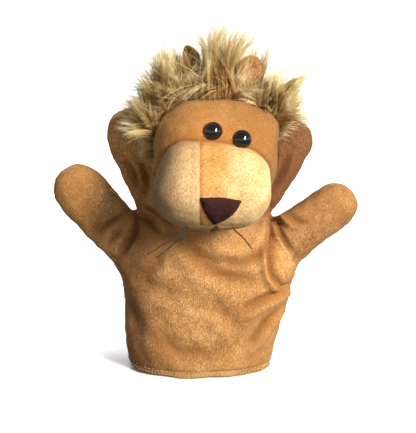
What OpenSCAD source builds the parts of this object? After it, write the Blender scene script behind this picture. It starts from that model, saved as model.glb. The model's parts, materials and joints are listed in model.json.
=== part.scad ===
// Lion glove puppet: a plush glove with four finger limbs, a stuffed head on a
// middle-finger stall, a long-pile mane, safety eyes, a felt nose and thread whiskers.
// Origin: centre of the hand opening. +Z up to the head, front faces -Y.
// "left" is the -X side, "right" is the +X side.

/* [Fabric] */
// Thickness of the plush fabric
plush_t = 1.8; // [1.2:0.1:2.6]
// Clearance between fabric tubes that turn in each other
joint_gap = 0.5; // [0.4:0.1:1]

/* [Glove body] */
// Height of the glove body from the hem to the shoulder seam
body_h = 108; // [90:1:135]
// Width of the hand opening at the hem
hem_w = 97; // [80:1:116]
// Depth of the hand opening at the hem
hem_d = 56; // [46:1:66]
// Width of the body under the lower limbs
chest_w = 121; // [108:1:134]
// Depth of the body at the chest
chest_d = 59; // [50:1:70]
// Height of the folded hem inside the opening
hem_fold_h = 9; // [6:0.5:14]
// Height of the hem stitching above the edge
stitch_z = 3.4; // [2.5:0.1:5]
// Number of stitches round the hem
stitch_count = 60; // [40:2:80]

/* [Limbs] */
// Width of a lower limb
lower_limb_w = 34; // [28:0.5:38]
// Length of the lower left limb from its root to its tip
lower_left_len = 61; // [48:1:74]
// Length of the lower right limb from its root to its tip
lower_right_len = 58; // [46:1:70]
// Width of an upper limb
upper_limb_w = 32; // [27:0.5:35]
// Length of an upper limb from its root to its tip
upper_limb_len = 72; // [58:1:80]
// Depth of every limb
limb_d = 23; // [19:0.5:26]

/* [Head] */
// Width of the cranium
head_w = 78; // [68:1:86]
// Height of the cranium
head_h = 72; // [64:1:78]
// Width of the muzzle
muzzle_w = 73; // [62:1:80]
// Height of the muzzle
muzzle_h = 59; // [50:1:64]
// Width of the seamed centre strip of the muzzle
gusset_w = 24; // [18:0.5:30]
// Height of the mane above the forehead
mane_h = 46; // [36:1:54]

/* [Face parts] */
// Diameter of a safety eye
eye_d = 12; // [9:0.5:13]
// Diameter of an eye stem
eye_stem_d = 3; // [2.4:0.1:4]
// Diameter of the washer that locks an eye
washer_d = 13; // [11:0.5:15]
// Width of the felt nose
nose_w = 25; // [18:0.5:28]
// Height of the felt nose
nose_h = 18; // [14:0.5:22]
// Thickness of the felt nose
felt_t = 1.5; // [1:0.1:2.5]
// Diameter of the whisker thread
whisker_d = 0.8; // [0.5:0.1:1.2]
// Width of an ear
ear_w = 20; // [16:0.5:24]

/* [Finger stall] */
// Inner diameter of the finger stall in the head
stall_d = 19; // [16:0.5:20]
// Thickness of the stall lining
stall_t = 0.8; // [0.5:0.1:1.2]

/* [Hidden] */

far = 400;
seam_gap = 0.05;
plush_colour = "#c98a3c";
face_colour = "#cf8f4a";
cheek_colour = "#e2bd85";
fur_colour = "#d9b47c";
thread_colour = "#2a2018";

// Body of the glove: height share, left edge, right edge and half depth of each section.
body_left = hem_w * 0.515;
body_right = hem_w * 0.485;
chest_left = chest_w * 0.463;
chest_right = chest_w * 0.537;
shoulder_left = chest_left * 0.79;
shoulder_right = chest_right * 0.70;
BODY = [
    [0, body_left, body_right, hem_d / 2],
    [0.19, body_left + 1.5, body_right + 4.5, hem_d / 2 + 1],
    [0.37, body_left + 1, chest_right - 7, chest_d / 2],
    [0.54, chest_left - 4, chest_right - 2, chest_d / 2 - 0.5],
    [0.65, chest_left, chest_right, chest_d / 2 - 1.5],
    [0.74, chest_left + 1, chest_right - 5, chest_d / 2 - 3],
    [0.83, chest_left - 4, chest_right - 11, chest_d / 2 - 3],
    [0.91, shoulder_left + 4, shoulder_right + 4, chest_d / 2 - 2.8],
    [0.96, shoulder_left + 1.5, shoulder_right + 1.5, chest_d / 2 - 6.5],
    [1, shoulder_left - 3, shoulder_right - 3, chest_d / 2 - 16]];
BODY_POINTS = 32;
BODY_POWER = 2.4;

// Each limb: root point, sideways lean, backward lean, length, width, backward flex, forward flex.
LOWER_LEFT = [[-chest_left * 0.91, 0, body_h * 0.83], -42, 0, lower_left_len, lower_limb_w, 15, 60];
LOWER_RIGHT = [[chest_right * 0.85, 0, body_h * 0.795], 54, 0, lower_right_len, lower_limb_w, 15, 60];
UPPER_LEFT = [[-shoulder_left * 0.62, 10, body_h * 0.985], -21, 16, upper_limb_len, upper_limb_w, 20, 5];
UPPER_RIGHT = [[shoulder_right * 0.70, 10, body_h * 0.965], 32, 16, upper_limb_len, upper_limb_w, 20, 5];
LIMB_POINTS = 20;
LIMB_RINGS = 9;
LIMB_POWER = 2.3;
root_share = 0.8;
finger_hole_r = limb_d / 2 - plush_t - 1.6;

// Neck: the head tilts and nods about this point.
neck_at = [1, -14, body_h + 2];
stall_r = stall_d / 2 + stall_t;
stall_below = 7;
neck_in_r = norm([stall_r, stall_below]) + joint_gap;
neck_out_r = neck_in_r + plush_t;
neck_band_h = 7;
neck_hole_r = neck_out_r + joint_gap;

// Head centre lines.
cranium_at = [10.5, neck_at.y - 14, neck_at.z + 42.6];
muzzle_at = [7.5, neck_at.y - 40, neck_at.z + 27];
cranium_r = head_h / 2;
muzzle_r = muzzle_h / 2;
cranium_corner = 30;
muzzle_corner = 19;
gusset_at = muzzle_at.x + 5;
chin_z = muzzle_at.z - muzzle_r * 0.74;
back_y = cranium_at.y + 6;
stall_top = cranium_at.z + cranium_r * 0.3;
mane_at = [cranium_at.x, cranium_at.y + 18, cranium_at.z + 36];
mane_r = mane_h;
mane_half_w = head_w / 2 + 15;
mane_back_x = neck_at.x + 4;
mane_back_half = 23;
mane_slope_at = cranium_at.z + cranium_r + cranium_at.y - 17;

// Eyes: sideways place from the cranium centre and upward angle on the face.
EYE_LEFT = [-2, 31];
EYE_RIGHT = [15.7, 23];
stem_len = 7;
washer_t = 1.2;

nose_at = [muzzle_at.x + 5.5, muzzle_at.z - 2.5];
nose_lean = 2.5;
thread_r = 0.45;
ear_r = ear_w / 2;
ear_t = 1.5;
EAR_LEFT = [-4, -14, neck_at.z + 100];
EAR_RIGHT = [34, -12, neck_at.z + 95];

// Points of a superellipse with half axes a and b.
function ring_point(a, b, p, t) =
    [a * sign(cos(t)) * pow(abs(cos(t)), 2 / p), b * sign(sin(t)) * pow(abs(sin(t)), 2 / p)];

// Closed solid through a stack of rings that all have the same number of points.
module loft(rings) {
    n = len(rings[0]);
    m = len(rings);
    points = [for (r = rings) for (q = r) q];
    sides = [for (i = [0 : m - 2]) for (j = [0 : n - 1]) each [
        [i * n + j, (i + 1) * n + j, (i + 1) * n + (j + 1) % n],
        [i * n + j, (i + 1) * n + (j + 1) % n, i * n + (j + 1) % n]]];
    bottom = [for (j = [0 : n - 1]) j];
    top = [for (j = [n - 1 : -1 : 0]) (m - 1) * n + j];
    polyhedron(points, concat(sides, [bottom], [top]), 4);
}

// Body of revolution about the X axis: a bar of half width w and radius r with round corners.
module barrel(w, r, corner) {
    c = min(corner, w - 1, r - 1);
    rotate([0, 90, 0])
        rotate_extrude($fn = 72)
            intersection() {
                union() {
                    translate([0, c - w])
                        square([r, 2 * (w - c)]);
                    translate([0, -w])
                        square([r - c, 2 * w]);
                    for (s = [-1, 1])
                        translate([r - c, s * (w - c)])
                            circle(c, $fn = 72);
                }
                translate([0, -far / 2])
                    square([far, far]);
            }
}

// Slab that keeps the front (-Y) side of a plane, or the back (+Y) side.
module front_half(y = 0) {
    translate([-far / 2, y - seam_gap / 2 - far, -far / 2])
        cube(far);
}

module back_half(y = 0) {
    translate([-far / 2, y + seam_gap / 2, -far / 2])
        cube(far);
}

// ---- glove body ----

function body_ring(s, inset, z) =
    let (half = (s[1] + s[2]) / 2 - inset, mid = (s[2] - s[1]) / 2)
    [for (j = [0 : BODY_POINTS - 1])
        let (q = ring_point(half, max(s[3] - inset, 1), BODY_POWER, 360 * j / BODY_POINTS))
        [mid + q.x, q.y, z]];

module body_solid(inset, below = 0) {
    top = body_h - inset;
    loft(concat(
        below > 0 ? [body_ring(BODY[0], inset, -below)] : [],
        [for (s = BODY) body_ring(s, inset, s[0] * top)]));
}

module body_shell() {
    difference() {
        body_solid(0);
        body_solid(plush_t, 5);
        for (limb = [LOWER_LEFT, LOWER_RIGHT, UPPER_LEFT, UPPER_RIGHT])
            place_limb(limb) {
                knuckle(limb, joint_gap);
                flex_room(limb);
            }
        translate(neck_at)
            sphere(neck_hole_r, $fn = 64);
    }
}

module glove_front_panel() {
    color(plush_colour)
        intersection() {
            body_shell();
            front_half();
        }
}

module glove_back_panel() {
    color(plush_colour)
        intersection() {
            body_shell();
            back_half();
        }
}

module hem_band() {
    difference() {
        body_solid(plush_t + seam_gap);
        body_solid(2 * plush_t, 5);
        translate([-far / 2, -far / 2, hem_fold_h])
            cube(far);
    }
}

module hem_fold_front() {
    color(plush_colour)
        intersection() {
            hem_band();
            front_half();
        }
}

module hem_fold_back() {
    color(plush_colour)
        intersection() {
            hem_band();
            back_half();
        }
}

// A row of thread stitches lying on the outside of the hem.
module hem_stitching() {
    share = (stitch_z + 0.4) / (BODY[1][0] * body_h);
    section = BODY[0] + (BODY[1] - BODY[0]) * share;
    half = (section[1] + section[2]) / 2;
    color("#e8cf9c")
        for (i = [0 : stitch_count - 1]) {
            t = 360 * (i + 0.5) / stitch_count;
            near = ring_point(half, section[3], BODY_POWER, t);
            next = ring_point(half, section[3], BODY_POWER, t + 0.5);
            along = next - near;
            turn = atan2(along.y, along.x);
            translate([(section[2] - section[1]) / 2 + near.x, near.y, stitch_z])
                rotate([0, 0, turn])
                    translate([-1.3, -1.1, -0.4])
                        cube([2.6, 0.8, 0.8]);
        }
}

// ---- limbs ----

module place_limb(limb) {
    translate(limb[0])
        rotate([0, limb[1], 0])
            rotate([-limb[2], 0, 0])
                children();
}

// Half width and half depth of a limb at distance s from its root.
function limb_half(limb, s, inset) =
    let (
        len = limb[3] - inset,
        w = limb[4] / 2 - inset,
        d = limb_d / 2 - inset,
        tip = min(limb[4] * 0.52, len * 0.6),
        grow = root_share + (1 - root_share) * min(1, s / (len - tip)),
        u = max(0, (s - (len - tip)) / tip),
        close = sqrt(max(0, 1 - u * u)))
    [w * grow * max(close, 0.16), d * grow * max(pow(close, 0.8), 0.2)];

function limb_ring(limb, s, inset) =
    let (half = limb_half(limb, s, inset))
    [for (j = [0 : LIMB_POINTS - 1])
        let (q = ring_point(half[0], half[1], LIMB_POWER, 360 * j / LIMB_POINTS))
        [q.x, q.y, s]];

function ring_places(len) =
    concat([0, 0.2, 0.4, 0.55] * len, [for (k = [1 : LIMB_RINGS - 3]) len * (0.55 + 0.45 * sin(90 * k / (LIMB_RINGS - 3)))]);

module limb_solid(limb, inset) {
    loft([for (s = ring_places(limb[3] - inset)) limb_ring(limb, s, inset)]);
}

// Round root of a limb, turned about its hinge axis, so that the limb can flex in the body.
module knuckle(limb, grow) {
    w = limb[4] / 2 * root_share + grow;
    r = limb_d / 2 * root_share + grow;
    rotate([0, 90, 0])
        rotate_extrude($fn = 64)
            polygon([for (k = [0 : 24])
                let (q = ring_point(r, w, LIMB_POWER, -90 + 180 * k / 24))
                [abs(q.x), q.y]]);
}

// Space that the limb passes through between its two flex limits, as wide as the limb.
module flex_room(limb) {
    r = limb_d / 2 + joint_gap;
    half_w = limb[4] / 2 * 0.94 + joint_gap;
    reach = limb[3];
    back = limb[5];
    fore = limb[6];
    fore_at = [-cos(fore), -sin(fore)] * r;
    back_at = [cos(back), -sin(back)] * r;
    translate([-half_w, 0, 0])
        rotate([90, 0, 90])
            linear_extrude(2 * half_w)
                polygon([
                    fore_at,
                    fore_at + [-sin(fore), cos(fore)] * reach,
                    [0, 2 * reach],
                    back_at + [sin(back), cos(back)] * reach,
                    back_at]);
}

module limb_shell(limb) {
    difference() {
        union() {
            limb_solid(limb, 0);
            knuckle(limb, 0);
        }
        limb_solid(limb, plush_t);
        knuckle(limb, -plush_t);
        translate([0, 0, -limb_d])
            cylinder(limb_d + 1, r = finger_hole_r, $fn = 48);
    }
}

module limb_panel(limb, front) {
    color(plush_colour)
        place_limb(limb)
            intersection() {
                limb_shell(limb);
                if (front)
                    front_half();
                else
                    back_half();
            }
}

module lower_left_limb_front() {
    limb_panel(LOWER_LEFT, true);
}

module lower_left_limb_back() {
    limb_panel(LOWER_LEFT, false);
}

module lower_right_limb_front() {
    limb_panel(LOWER_RIGHT, true);
}

module lower_right_limb_back() {
    limb_panel(LOWER_RIGHT, false);
}

module upper_left_limb_front() {
    limb_panel(UPPER_LEFT, true);
}

module upper_left_limb_back() {
    limb_panel(UPPER_LEFT, false);
}

module upper_right_limb_front() {
    limb_panel(UPPER_RIGHT, true);
}

module upper_right_limb_back() {
    limb_panel(UPPER_RIGHT, false);
}

// ---- neck ----

module neck_zone(r_out, r_in, h) {
    difference() {
        sphere(r_out, $fn = 64);
        sphere(r_in, $fn = 64);
        translate([-far / 2, -far / 2, h / 2])
            cube(far);
        translate([-far / 2, -far / 2, -h / 2 - far])
            cube(far);
    }
}

module neck_band() {
    color(plush_colour)
        translate(neck_at)
            neck_zone(neck_out_r, neck_in_r, neck_band_h);
}

// Two rounds of thread that close the neck seam, lying inside the band.
module neck_stitching() {
    color(thread_colour)
        translate(neck_at)
            for (z = [-1.6, 1.6])
                translate([0, 0, z])
                    rotate_extrude($fn = 64)
                        translate([sqrt(pow(neck_in_r, 2) - z * z) - 0.22, 0])
                            circle(0.2, $fn = 16);
}

// ---- head ----

module cranium(inset) {
    translate(cranium_at)
        barrel(head_w / 2 - inset, cranium_r - inset, cranium_corner - inset);
}

module muzzle(inset) {
    translate(muzzle_at)
        barrel(muzzle_w / 2 - inset, muzzle_r - inset, muzzle_corner - inset);
}

// The closed outer shape of the head without fur.
module head_space(inset) {
    union() {
        cranium(inset);
        muzzle(inset);
    }
}

module stall_space(grow) {
    translate([neck_at.x, neck_at.y, neck_at.z - stall_below - grow])
        cylinder(stall_top - stall_r - neck_at.z + stall_below + grow, r = stall_r + grow, $fn = 64);
    translate([neck_at.x, neck_at.y, stall_top - stall_r])
        sphere(stall_r + grow, $fn = 64);
}

module finger_stall() {
    color("#d8c39a")
        difference() {
            stall_space(0);
            translate([neck_at.x, neck_at.y, neck_at.z - stall_below - 1])
                cylinder(stall_top - stall_r - neck_at.z + stall_below + 1, r = stall_d / 2, $fn = 64);
            translate([neck_at.x, neck_at.y, stall_top - stall_r])
                sphere(stall_d / 2, $fn = 64);
        }
}

module head_stuffing() {
    color("white")
        difference() {
            head_space(plush_t + seam_gap);
            stall_space(seam_gap);
            neck_room();
            for (eye = [EYE_LEFT, EYE_RIGHT])
                place_eye(eye) {
                    translate([0, 0, -plush_t - stem_len])
                        cylinder(stem_len + plush_t, r = washer_d / 2 + seam_gap, $fn = 48);
                    cylinder(eye_d, r = eye_d / 2 + seam_gap, $fn = 48);
                }
        }
}

// Space under the head in which the neck band turns.
module neck_room() {
    translate(neck_at)
        sphere(neck_out_r + 2 * joint_gap, $fn = 64);
}

// Room that an eye and its washer take in the panels around them.
module eye_room(eye) {
    place_eye(eye) {
        cylinder(eye_d, r = eye_d / 2 + seam_gap, $fn = 48);
        translate([0, 0, -plush_t - stem_len])
            cylinder(stem_len + plush_t, r = washer_d / 2 + seam_gap, $fn = 48);
    }
}

module muzzle_shell() {
    difference() {
        muzzle(0);
        muzzle(plush_t);
        cranium(-seam_gap);
        neck_room();
        for (eye = [EYE_LEFT, EYE_RIGHT])
            eye_room(eye);
    }
}

module cranium_shell() {
    difference() {
        cranium(0);
        cranium(plush_t);
        muzzle(0);
        stall_space(joint_gap);
        neck_room();
    }
}

module forehead_panel() {
    color(face_colour)
        difference() {
            intersection() {
                cranium_shell();
                front_half(back_y);
            }
            for (eye = [EYE_LEFT, EYE_RIGHT])
                place_eye(eye)
                    translate([0, 0, -plush_t * 2])
                        cylinder(plush_t * 3, r = eye_stem_d / 2 + 0.1, $fn = 32);
        }
}

module head_back_panel() {
    color(plush_colour)
        intersection() {
            cranium_shell();
            back_half(back_y);
        }
}

// Strip of the muzzle shell between two upright seams, above the chin seam.
module muzzle_strip(x0, x1) {
    intersection() {
        muzzle_shell();
        translate([x0 + seam_gap / 2, -far / 2, chin_z + seam_gap / 2])
            cube([x1 - x0 - seam_gap, far, far]);
    }
}

module muzzle_gusset() {
    color(face_colour)
        muzzle_strip(gusset_at - gusset_w / 2, gusset_at + gusset_w / 2);
}

module cheek_panel_left() {
    color(cheek_colour)
        muzzle_strip(-far / 2, gusset_at - gusset_w / 2);
}

module cheek_panel_right() {
    color("#e6bf80")
        muzzle_strip(gusset_at + gusset_w / 2, far / 2);
}

module chin_panel() {
    color(cheek_colour)
        intersection() {
            muzzle_shell();
            translate([-far / 2, -far / 2, chin_z - seam_gap / 2 - far])
                cube(far);
        }
}

// ---- mane and ears ----

module mane_fur() {
    color(fur_colour)
        difference() {
            translate(mane_at)
                barrel(mane_half_w, mane_r, 40);
            cranium(-seam_gap);
            // hair line over the forehead, down behind the cheeks
            translate([0, 0, mane_slope_at])
                rotate([-45, 0, 0])
                    translate([-far / 2, -far / 2, -far])
                        cube([far, far, far]);
            // room for the upper limbs at both sides of the head
            for (s = [-1, 1])
                translate([mane_at.x + s * (head_w / 2 + 2 + far / 2), 0, mane_at.z + 4 - far / 2])
                    cube(far, center = true);
            for (s = [-1, 1])
                translate([mane_back_x + s * (mane_back_half + far / 2), back_y + 14 + far / 2, mane_at.z + 4 - far / 2])
                    cube(far, center = true);
            for (ear = [EAR_LEFT, EAR_RIGHT])
                translate(ear)
                    sphere(ear_r + seam_gap, $fn = 48);
        }
}

module ear_cup(r_out, r_in) {
    difference() {
        sphere(r_out, $fn = 48);
        sphere(r_in, $fn = 48);
        // open at the front and cut flat under the base
        translate([-far / 2, -far - 2, -far / 2])
            cube(far);
        translate([-far / 2, -far / 2, -far - r_out * 0.6])
            cube(far);
    }
}

module ear_outer(ear) {
    color(plush_colour)
        translate(ear)
            ear_cup(ear_r, ear_r - ear_t);
}

module ear_inner(ear) {
    color(cheek_colour)
        translate(ear)
            ear_cup(ear_r - ear_t - seam_gap, ear_r - 2 * ear_t);
}

module ear_left_outer() {
    ear_outer(EAR_LEFT);
}

module ear_left_inner() {
    ear_inner(EAR_LEFT);
}

module ear_right_outer() {
    ear_outer(EAR_RIGHT);
}

module ear_right_inner() {
    ear_inner(EAR_RIGHT);
}

// ---- face parts ----

// Puts children on the forehead with +Z pointing out of the fabric.
module place_eye(eye) {
    past_flat = max(0, abs(eye[0]) - (head_w / 2 - cranium_corner));
    surface_r = cranium_r - cranium_corner + sqrt(pow(cranium_corner, 2) - past_flat * past_flat);
    translate([cranium_at.x + eye[0], cranium_at.y, cranium_at.z])
        rotate([90 - eye[1], 0, 0])
            translate([0, 0, surface_r])
                rotate([0, sign(eye[0]) * asin(past_flat / cranium_corner), 0])
                    children();
}

module eye_piece(eye) {
    color("#0c0a0a")
        place_eye(eye) {
            intersection() {
                translate([0, 0, -1])
                    sphere(eye_d / 2, $fn = 64);
                translate([-eye_d, -eye_d, 0])
                    cube([2 * eye_d, 2 * eye_d, eye_d]);
            }
            translate([0, 0, -stem_len])
                cylinder(stem_len, r = eye_stem_d / 2, $fn = 32);
        }
}

module washer(eye) {
    color("#e9e6df")
        place_eye(eye)
            translate([0, 0, -plush_t - 1.2 - washer_t])
                difference() {
                    cylinder(washer_t, r = washer_d / 2, $fn = 48);
                    translate([0, 0, -1])
                        cylinder(washer_t + 2, r = eye_stem_d / 2 + 0.05, $fn = 32);
                }
}

module eye_left() {
    eye_piece(EYE_LEFT);
}

module eye_right() {
    eye_piece(EYE_RIGHT);
}

module eye_washer_left() {
    washer(EYE_LEFT);
}

module eye_washer_right() {
    washer(EYE_RIGHT);
}

// Felt triangle with round corners, lying on the front of the muzzle.
module nose_patch() {
    corner = 1.6;
    color("#4a2a22")
        intersection() {
            difference() {
                muzzle(-felt_t);
                muzzle(-seam_gap);
            }
            translate([nose_at.x, muzzle_at.y - muzzle_r * 0.6, nose_at.y])
                rotate([90, 0, 0])
                    linear_extrude(muzzle_r)
                        hull() {
                            for (s = [-1, 1])
                                translate([s * (nose_w / 2 - corner), -corner])
                                    circle(corner, $fn = 32);
                            translate([-nose_lean, -nose_h + corner])
                                circle(corner, $fn = 32);
                        }
        }
}

// A short line of thread from the tip of the nose down the chin.
module mouth_stitch() {
    tip_angle = asin((muzzle_at.z - nose_at.y + nose_h) / muzzle_r);
    color(thread_colour)
        translate([nose_at.x - nose_lean, muzzle_at.y, muzzle_at.z])
            rotate([90, 0, 90])
                rotate([0, 0, 182 + tip_angle])
                    rotate_extrude(angle = 17, $fn = 96)
                        translate([muzzle_r + thread_r + seam_gap, 0])
                            circle(thread_r, $fn = 16);
}

module whisker(from, to) {
    along = to - from;
    long = norm(along);
    translate(from)
        rotate([0, acos(along.z / long), atan2(along.y, along.x)])
            cylinder(long, r = whisker_d / 2, $fn = 16);
}

// Point on the muzzle at a sideways place and an angle under the horizon.
function whisker_root(x, angle) =
    let (r = muzzle_r + whisker_d / 2 + seam_gap)
    [muzzle_at.x + x, muzzle_at.y - r * cos(angle), muzzle_at.z - r * sin(angle)];

module whiskers_left() {
    upper = whisker_root(-14, 50);
    lower = whisker_root(-11.5, 52);
    color(thread_colour) {
        whisker(upper, upper + [-24, -3, -20]);
        whisker(lower, lower + [-20, -4, -23]);
    }
}

module whiskers_right() {
    root = whisker_root(12.5, 53);
    color(thread_colour)
        whisker(root, root + [12, -2, -12]);
}

glove_front_panel();
glove_back_panel();
hem_fold_front();
hem_fold_back();
hem_stitching();
lower_left_limb_front();
lower_left_limb_back();
lower_right_limb_front();
lower_right_limb_back();
upper_left_limb_front();
upper_left_limb_back();
upper_right_limb_front();
upper_right_limb_back();
neck_band();
neck_stitching();
finger_stall();
head_stuffing();
forehead_panel();
head_back_panel();
muzzle_gusset();
cheek_panel_left();
cheek_panel_right();
chin_panel();
mane_fur();
ear_left_outer();
ear_left_inner();
ear_right_outer();
ear_right_inner();
eye_left();
eye_right();
eye_washer_left();
eye_washer_right();
nose_patch();
mouth_stitch();
whiskers_left();
whiskers_right();
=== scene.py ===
# Lion glove puppet: plush glove, stuffed head, long-pile mane, felt nose and thread details.
import json
import math

import bmesh
import bpy
import numpy as np
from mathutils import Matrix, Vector
from mathutils.bvhtree import BVHTree
from mathutils.kdtree import KDTree


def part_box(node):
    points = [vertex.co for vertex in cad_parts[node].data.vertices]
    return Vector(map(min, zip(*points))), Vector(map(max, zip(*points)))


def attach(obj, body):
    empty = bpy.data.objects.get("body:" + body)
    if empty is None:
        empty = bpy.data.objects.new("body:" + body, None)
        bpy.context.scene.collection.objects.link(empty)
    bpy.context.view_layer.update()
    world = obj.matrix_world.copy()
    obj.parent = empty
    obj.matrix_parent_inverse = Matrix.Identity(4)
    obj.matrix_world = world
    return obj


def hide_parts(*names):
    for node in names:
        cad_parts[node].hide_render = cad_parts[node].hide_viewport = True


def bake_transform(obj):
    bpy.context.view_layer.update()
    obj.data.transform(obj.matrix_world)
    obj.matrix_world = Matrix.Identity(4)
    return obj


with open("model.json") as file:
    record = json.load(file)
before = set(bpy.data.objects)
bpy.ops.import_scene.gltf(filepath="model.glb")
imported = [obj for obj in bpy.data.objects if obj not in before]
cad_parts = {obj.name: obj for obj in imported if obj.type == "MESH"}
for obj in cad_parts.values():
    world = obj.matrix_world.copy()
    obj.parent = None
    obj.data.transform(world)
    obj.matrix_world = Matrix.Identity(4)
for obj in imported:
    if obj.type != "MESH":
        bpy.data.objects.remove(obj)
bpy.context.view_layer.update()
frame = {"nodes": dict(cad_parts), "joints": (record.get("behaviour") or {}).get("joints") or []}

MM = 0.001
GRID = 1.3          # mesh step of the sewn fabric, in mm
HAIR_SHARE = 1.0   # share of the fur strands that is made
POWER = 2.4                           # how square the glove's sections are: 2 is an ellipse
JOINTS = {j["name"]: j for j in frame["joints"]}


# ---------------------------------------------------------------- places from the frame

def joint_point(name):
    return np.array(JOINTS[name]["pos_m"]) / MM


def node_box(name):
    low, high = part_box(name)
    return np.array(low) / MM, np.array(high) / MM


NECK = joint_point("head_tilt")
CRANIUM = dict(at=np.array([10.5, NECK[1] - 14, NECK[2] + 42.6]), half=39.0, r=36.0, corner=30.0)
MUZZLE = dict(at=np.array([7.5, NECK[1] - 40, NECK[2] + 27]), half=36.5, r=29.5, corner=19.0)
GUSSET_LEFT = node_box("muzzle_gusset")[0][0]
GUSSET_RIGHT = node_box("muzzle_gusset")[1][0]
CHIN_Z = node_box("chin_panel")[1][2]
HEM_TOP = node_box("hem_fold_front")[1][2]
NECK_HOLE = 13.0                           # radius of the opening under the head
NOTCH_LEFT = np.array([-45.0, 106.0])     # in X and Z: where two neighbouring limbs meet
NOTCH_RIGHT = np.array([45.7, 105.0])


class Limb:
    """A finger limb: its own axes, its width along its length, and places past the notch line at its root.
    """

    def __init__(self, key, lean, length, shares, widths, depth, outward, notch):
        self.key = key
        self.body = key + "_limb"
        self.root = joint_point(key + "_flex")
        self.across = np.array(JOINTS[key + "_flex"]["axis"])
        sin_splay, cos_splay = -self.across[2], self.across[0]
        lean = math.radians(lean)
        self.along = np.array([
            sin_splay * math.cos(lean), math.sin(lean), cos_splay * math.cos(lean)])
        self.deep = np.cross(self.along, self.across)
        self.flat = np.array([sin_splay, 0, cos_splay])
        self.slope = math.tan(lean)
        self.length, self.shares, self.widths, self.depth = length, shares, widths, depth
        self.outward = np.array(outward) / np.linalg.norm(outward)
        self.notch = notch

    def local(self, p):
        q = p - self.root
        return q @ self.across, q @ self.deep, q @ self.along

    def past(self, p):
        """How far a point lies outside the line between the two notches at the limb's root."""
        return (p[..., 0] - self.notch[0]) * self.outward[0] + (p[..., 2] - self.notch[1]) * self.outward[1]

    def bend_at(self, past):
        """The point in metres that lies this far outside the notch line."""
        x, z = self.notch + self.outward * past
        return x * MM, 0.0, z * MM

    def seam_y(self, p):
        q = p - self.root
        return self.root[1] + self.slope * (q[..., 0] * self.flat[0] + q[..., 2] * self.flat[2])


LIMBS = [
    Limb("lower_left", 0, 61, (-0.3, 0, 0.3, 0.6, 0.8, 1), (16.5, 16.5, 17.5, 18, 17, 15), 11.5,
         (-0.918, 0.397), NOTCH_LEFT),
    Limb("lower_right", 0, 59, (-0.3, 0, 0.3, 0.6, 0.8, 1), (20, 18.5, 16.5, 16, 15.5, 15), 11.5,
         (0.896, 0.443), NOTCH_RIGHT),
    Limb("upper_left", 16, 73, (-0.3, 0, 0.3, 0.6, 0.8, 1), (15, 14, 15.5, 17, 16.5, 15), 11.5,
         (-0.12, 0.993), NOTCH_LEFT),
    Limb("upper_right", 16, 73, (-0.3, 0, 0.3, 0.6, 0.8, 1), (15, 14, 15.5, 16.5, 16, 14.5), 11.5,
         (0.16, 0.987), NOTCH_RIGHT)]
UPPER_LEFT, UPPER_RIGHT = LIMBS[2:]
BEND_START, BEND_END = 3.5, 17.0      # two places past the notch line: a limb's own panels start at the first
COLLAR_LOW, COLLAR_MID, COLLAR_HIGH = NECK[2] - 2, NECK[2] + 2.5, NECK[2] + 9


# ---------------------------------------------------------------- distance fields and meshes

def smooth_step(x):
    x = np.clip(x, 0, 1)
    return x * x * (3 - 2 * x)


def noise_at(p, size, seed, octaves=3):
    """Smooth seeded noise between about -1 and 1, from sums of sines in fixed random directions."""
    rng = np.random.default_rng(seed)
    total = np.zeros(p.shape[:-1])
    weight = 0
    for octave in range(octaves):
        for _ in range(6):
            d = rng.normal(size=3)
            d = d / np.linalg.norm(d) * 2 * math.pi / (size * rng.uniform(0.7, 1.4)) * 1.9 ** octave
            total = total + np.sin(p @ d + rng.uniform(0, 2 * math.pi)) * 0.6 ** octave
        weight += 6 * 0.6 ** octave
    return total / math.sqrt(weight * 1.5)


def as_distance(f, step):
    """Turns any field that is zero on a surface into a near distance to that surface."""
    g = np.gradient(f, step)
    slope = np.sqrt(g[0] ** 2 + g[1] ** 2 + g[2] ** 2)
    return f / np.maximum(slope, 0.004)


def join_smooth(a, b, k):
    h = np.clip(0.5 + 0.5 * (b - a) / k, 0, 1)
    return b + (a - b) * h - k * h * (1 - h)


def grid(low, high, step):
    """The points of a box, one step apart."""
    axes = [np.arange(low[k], high[k], step) for k in range(3)]
    return np.stack(np.meshgrid(*axes, indexing="ij"), axis=-1)


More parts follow.
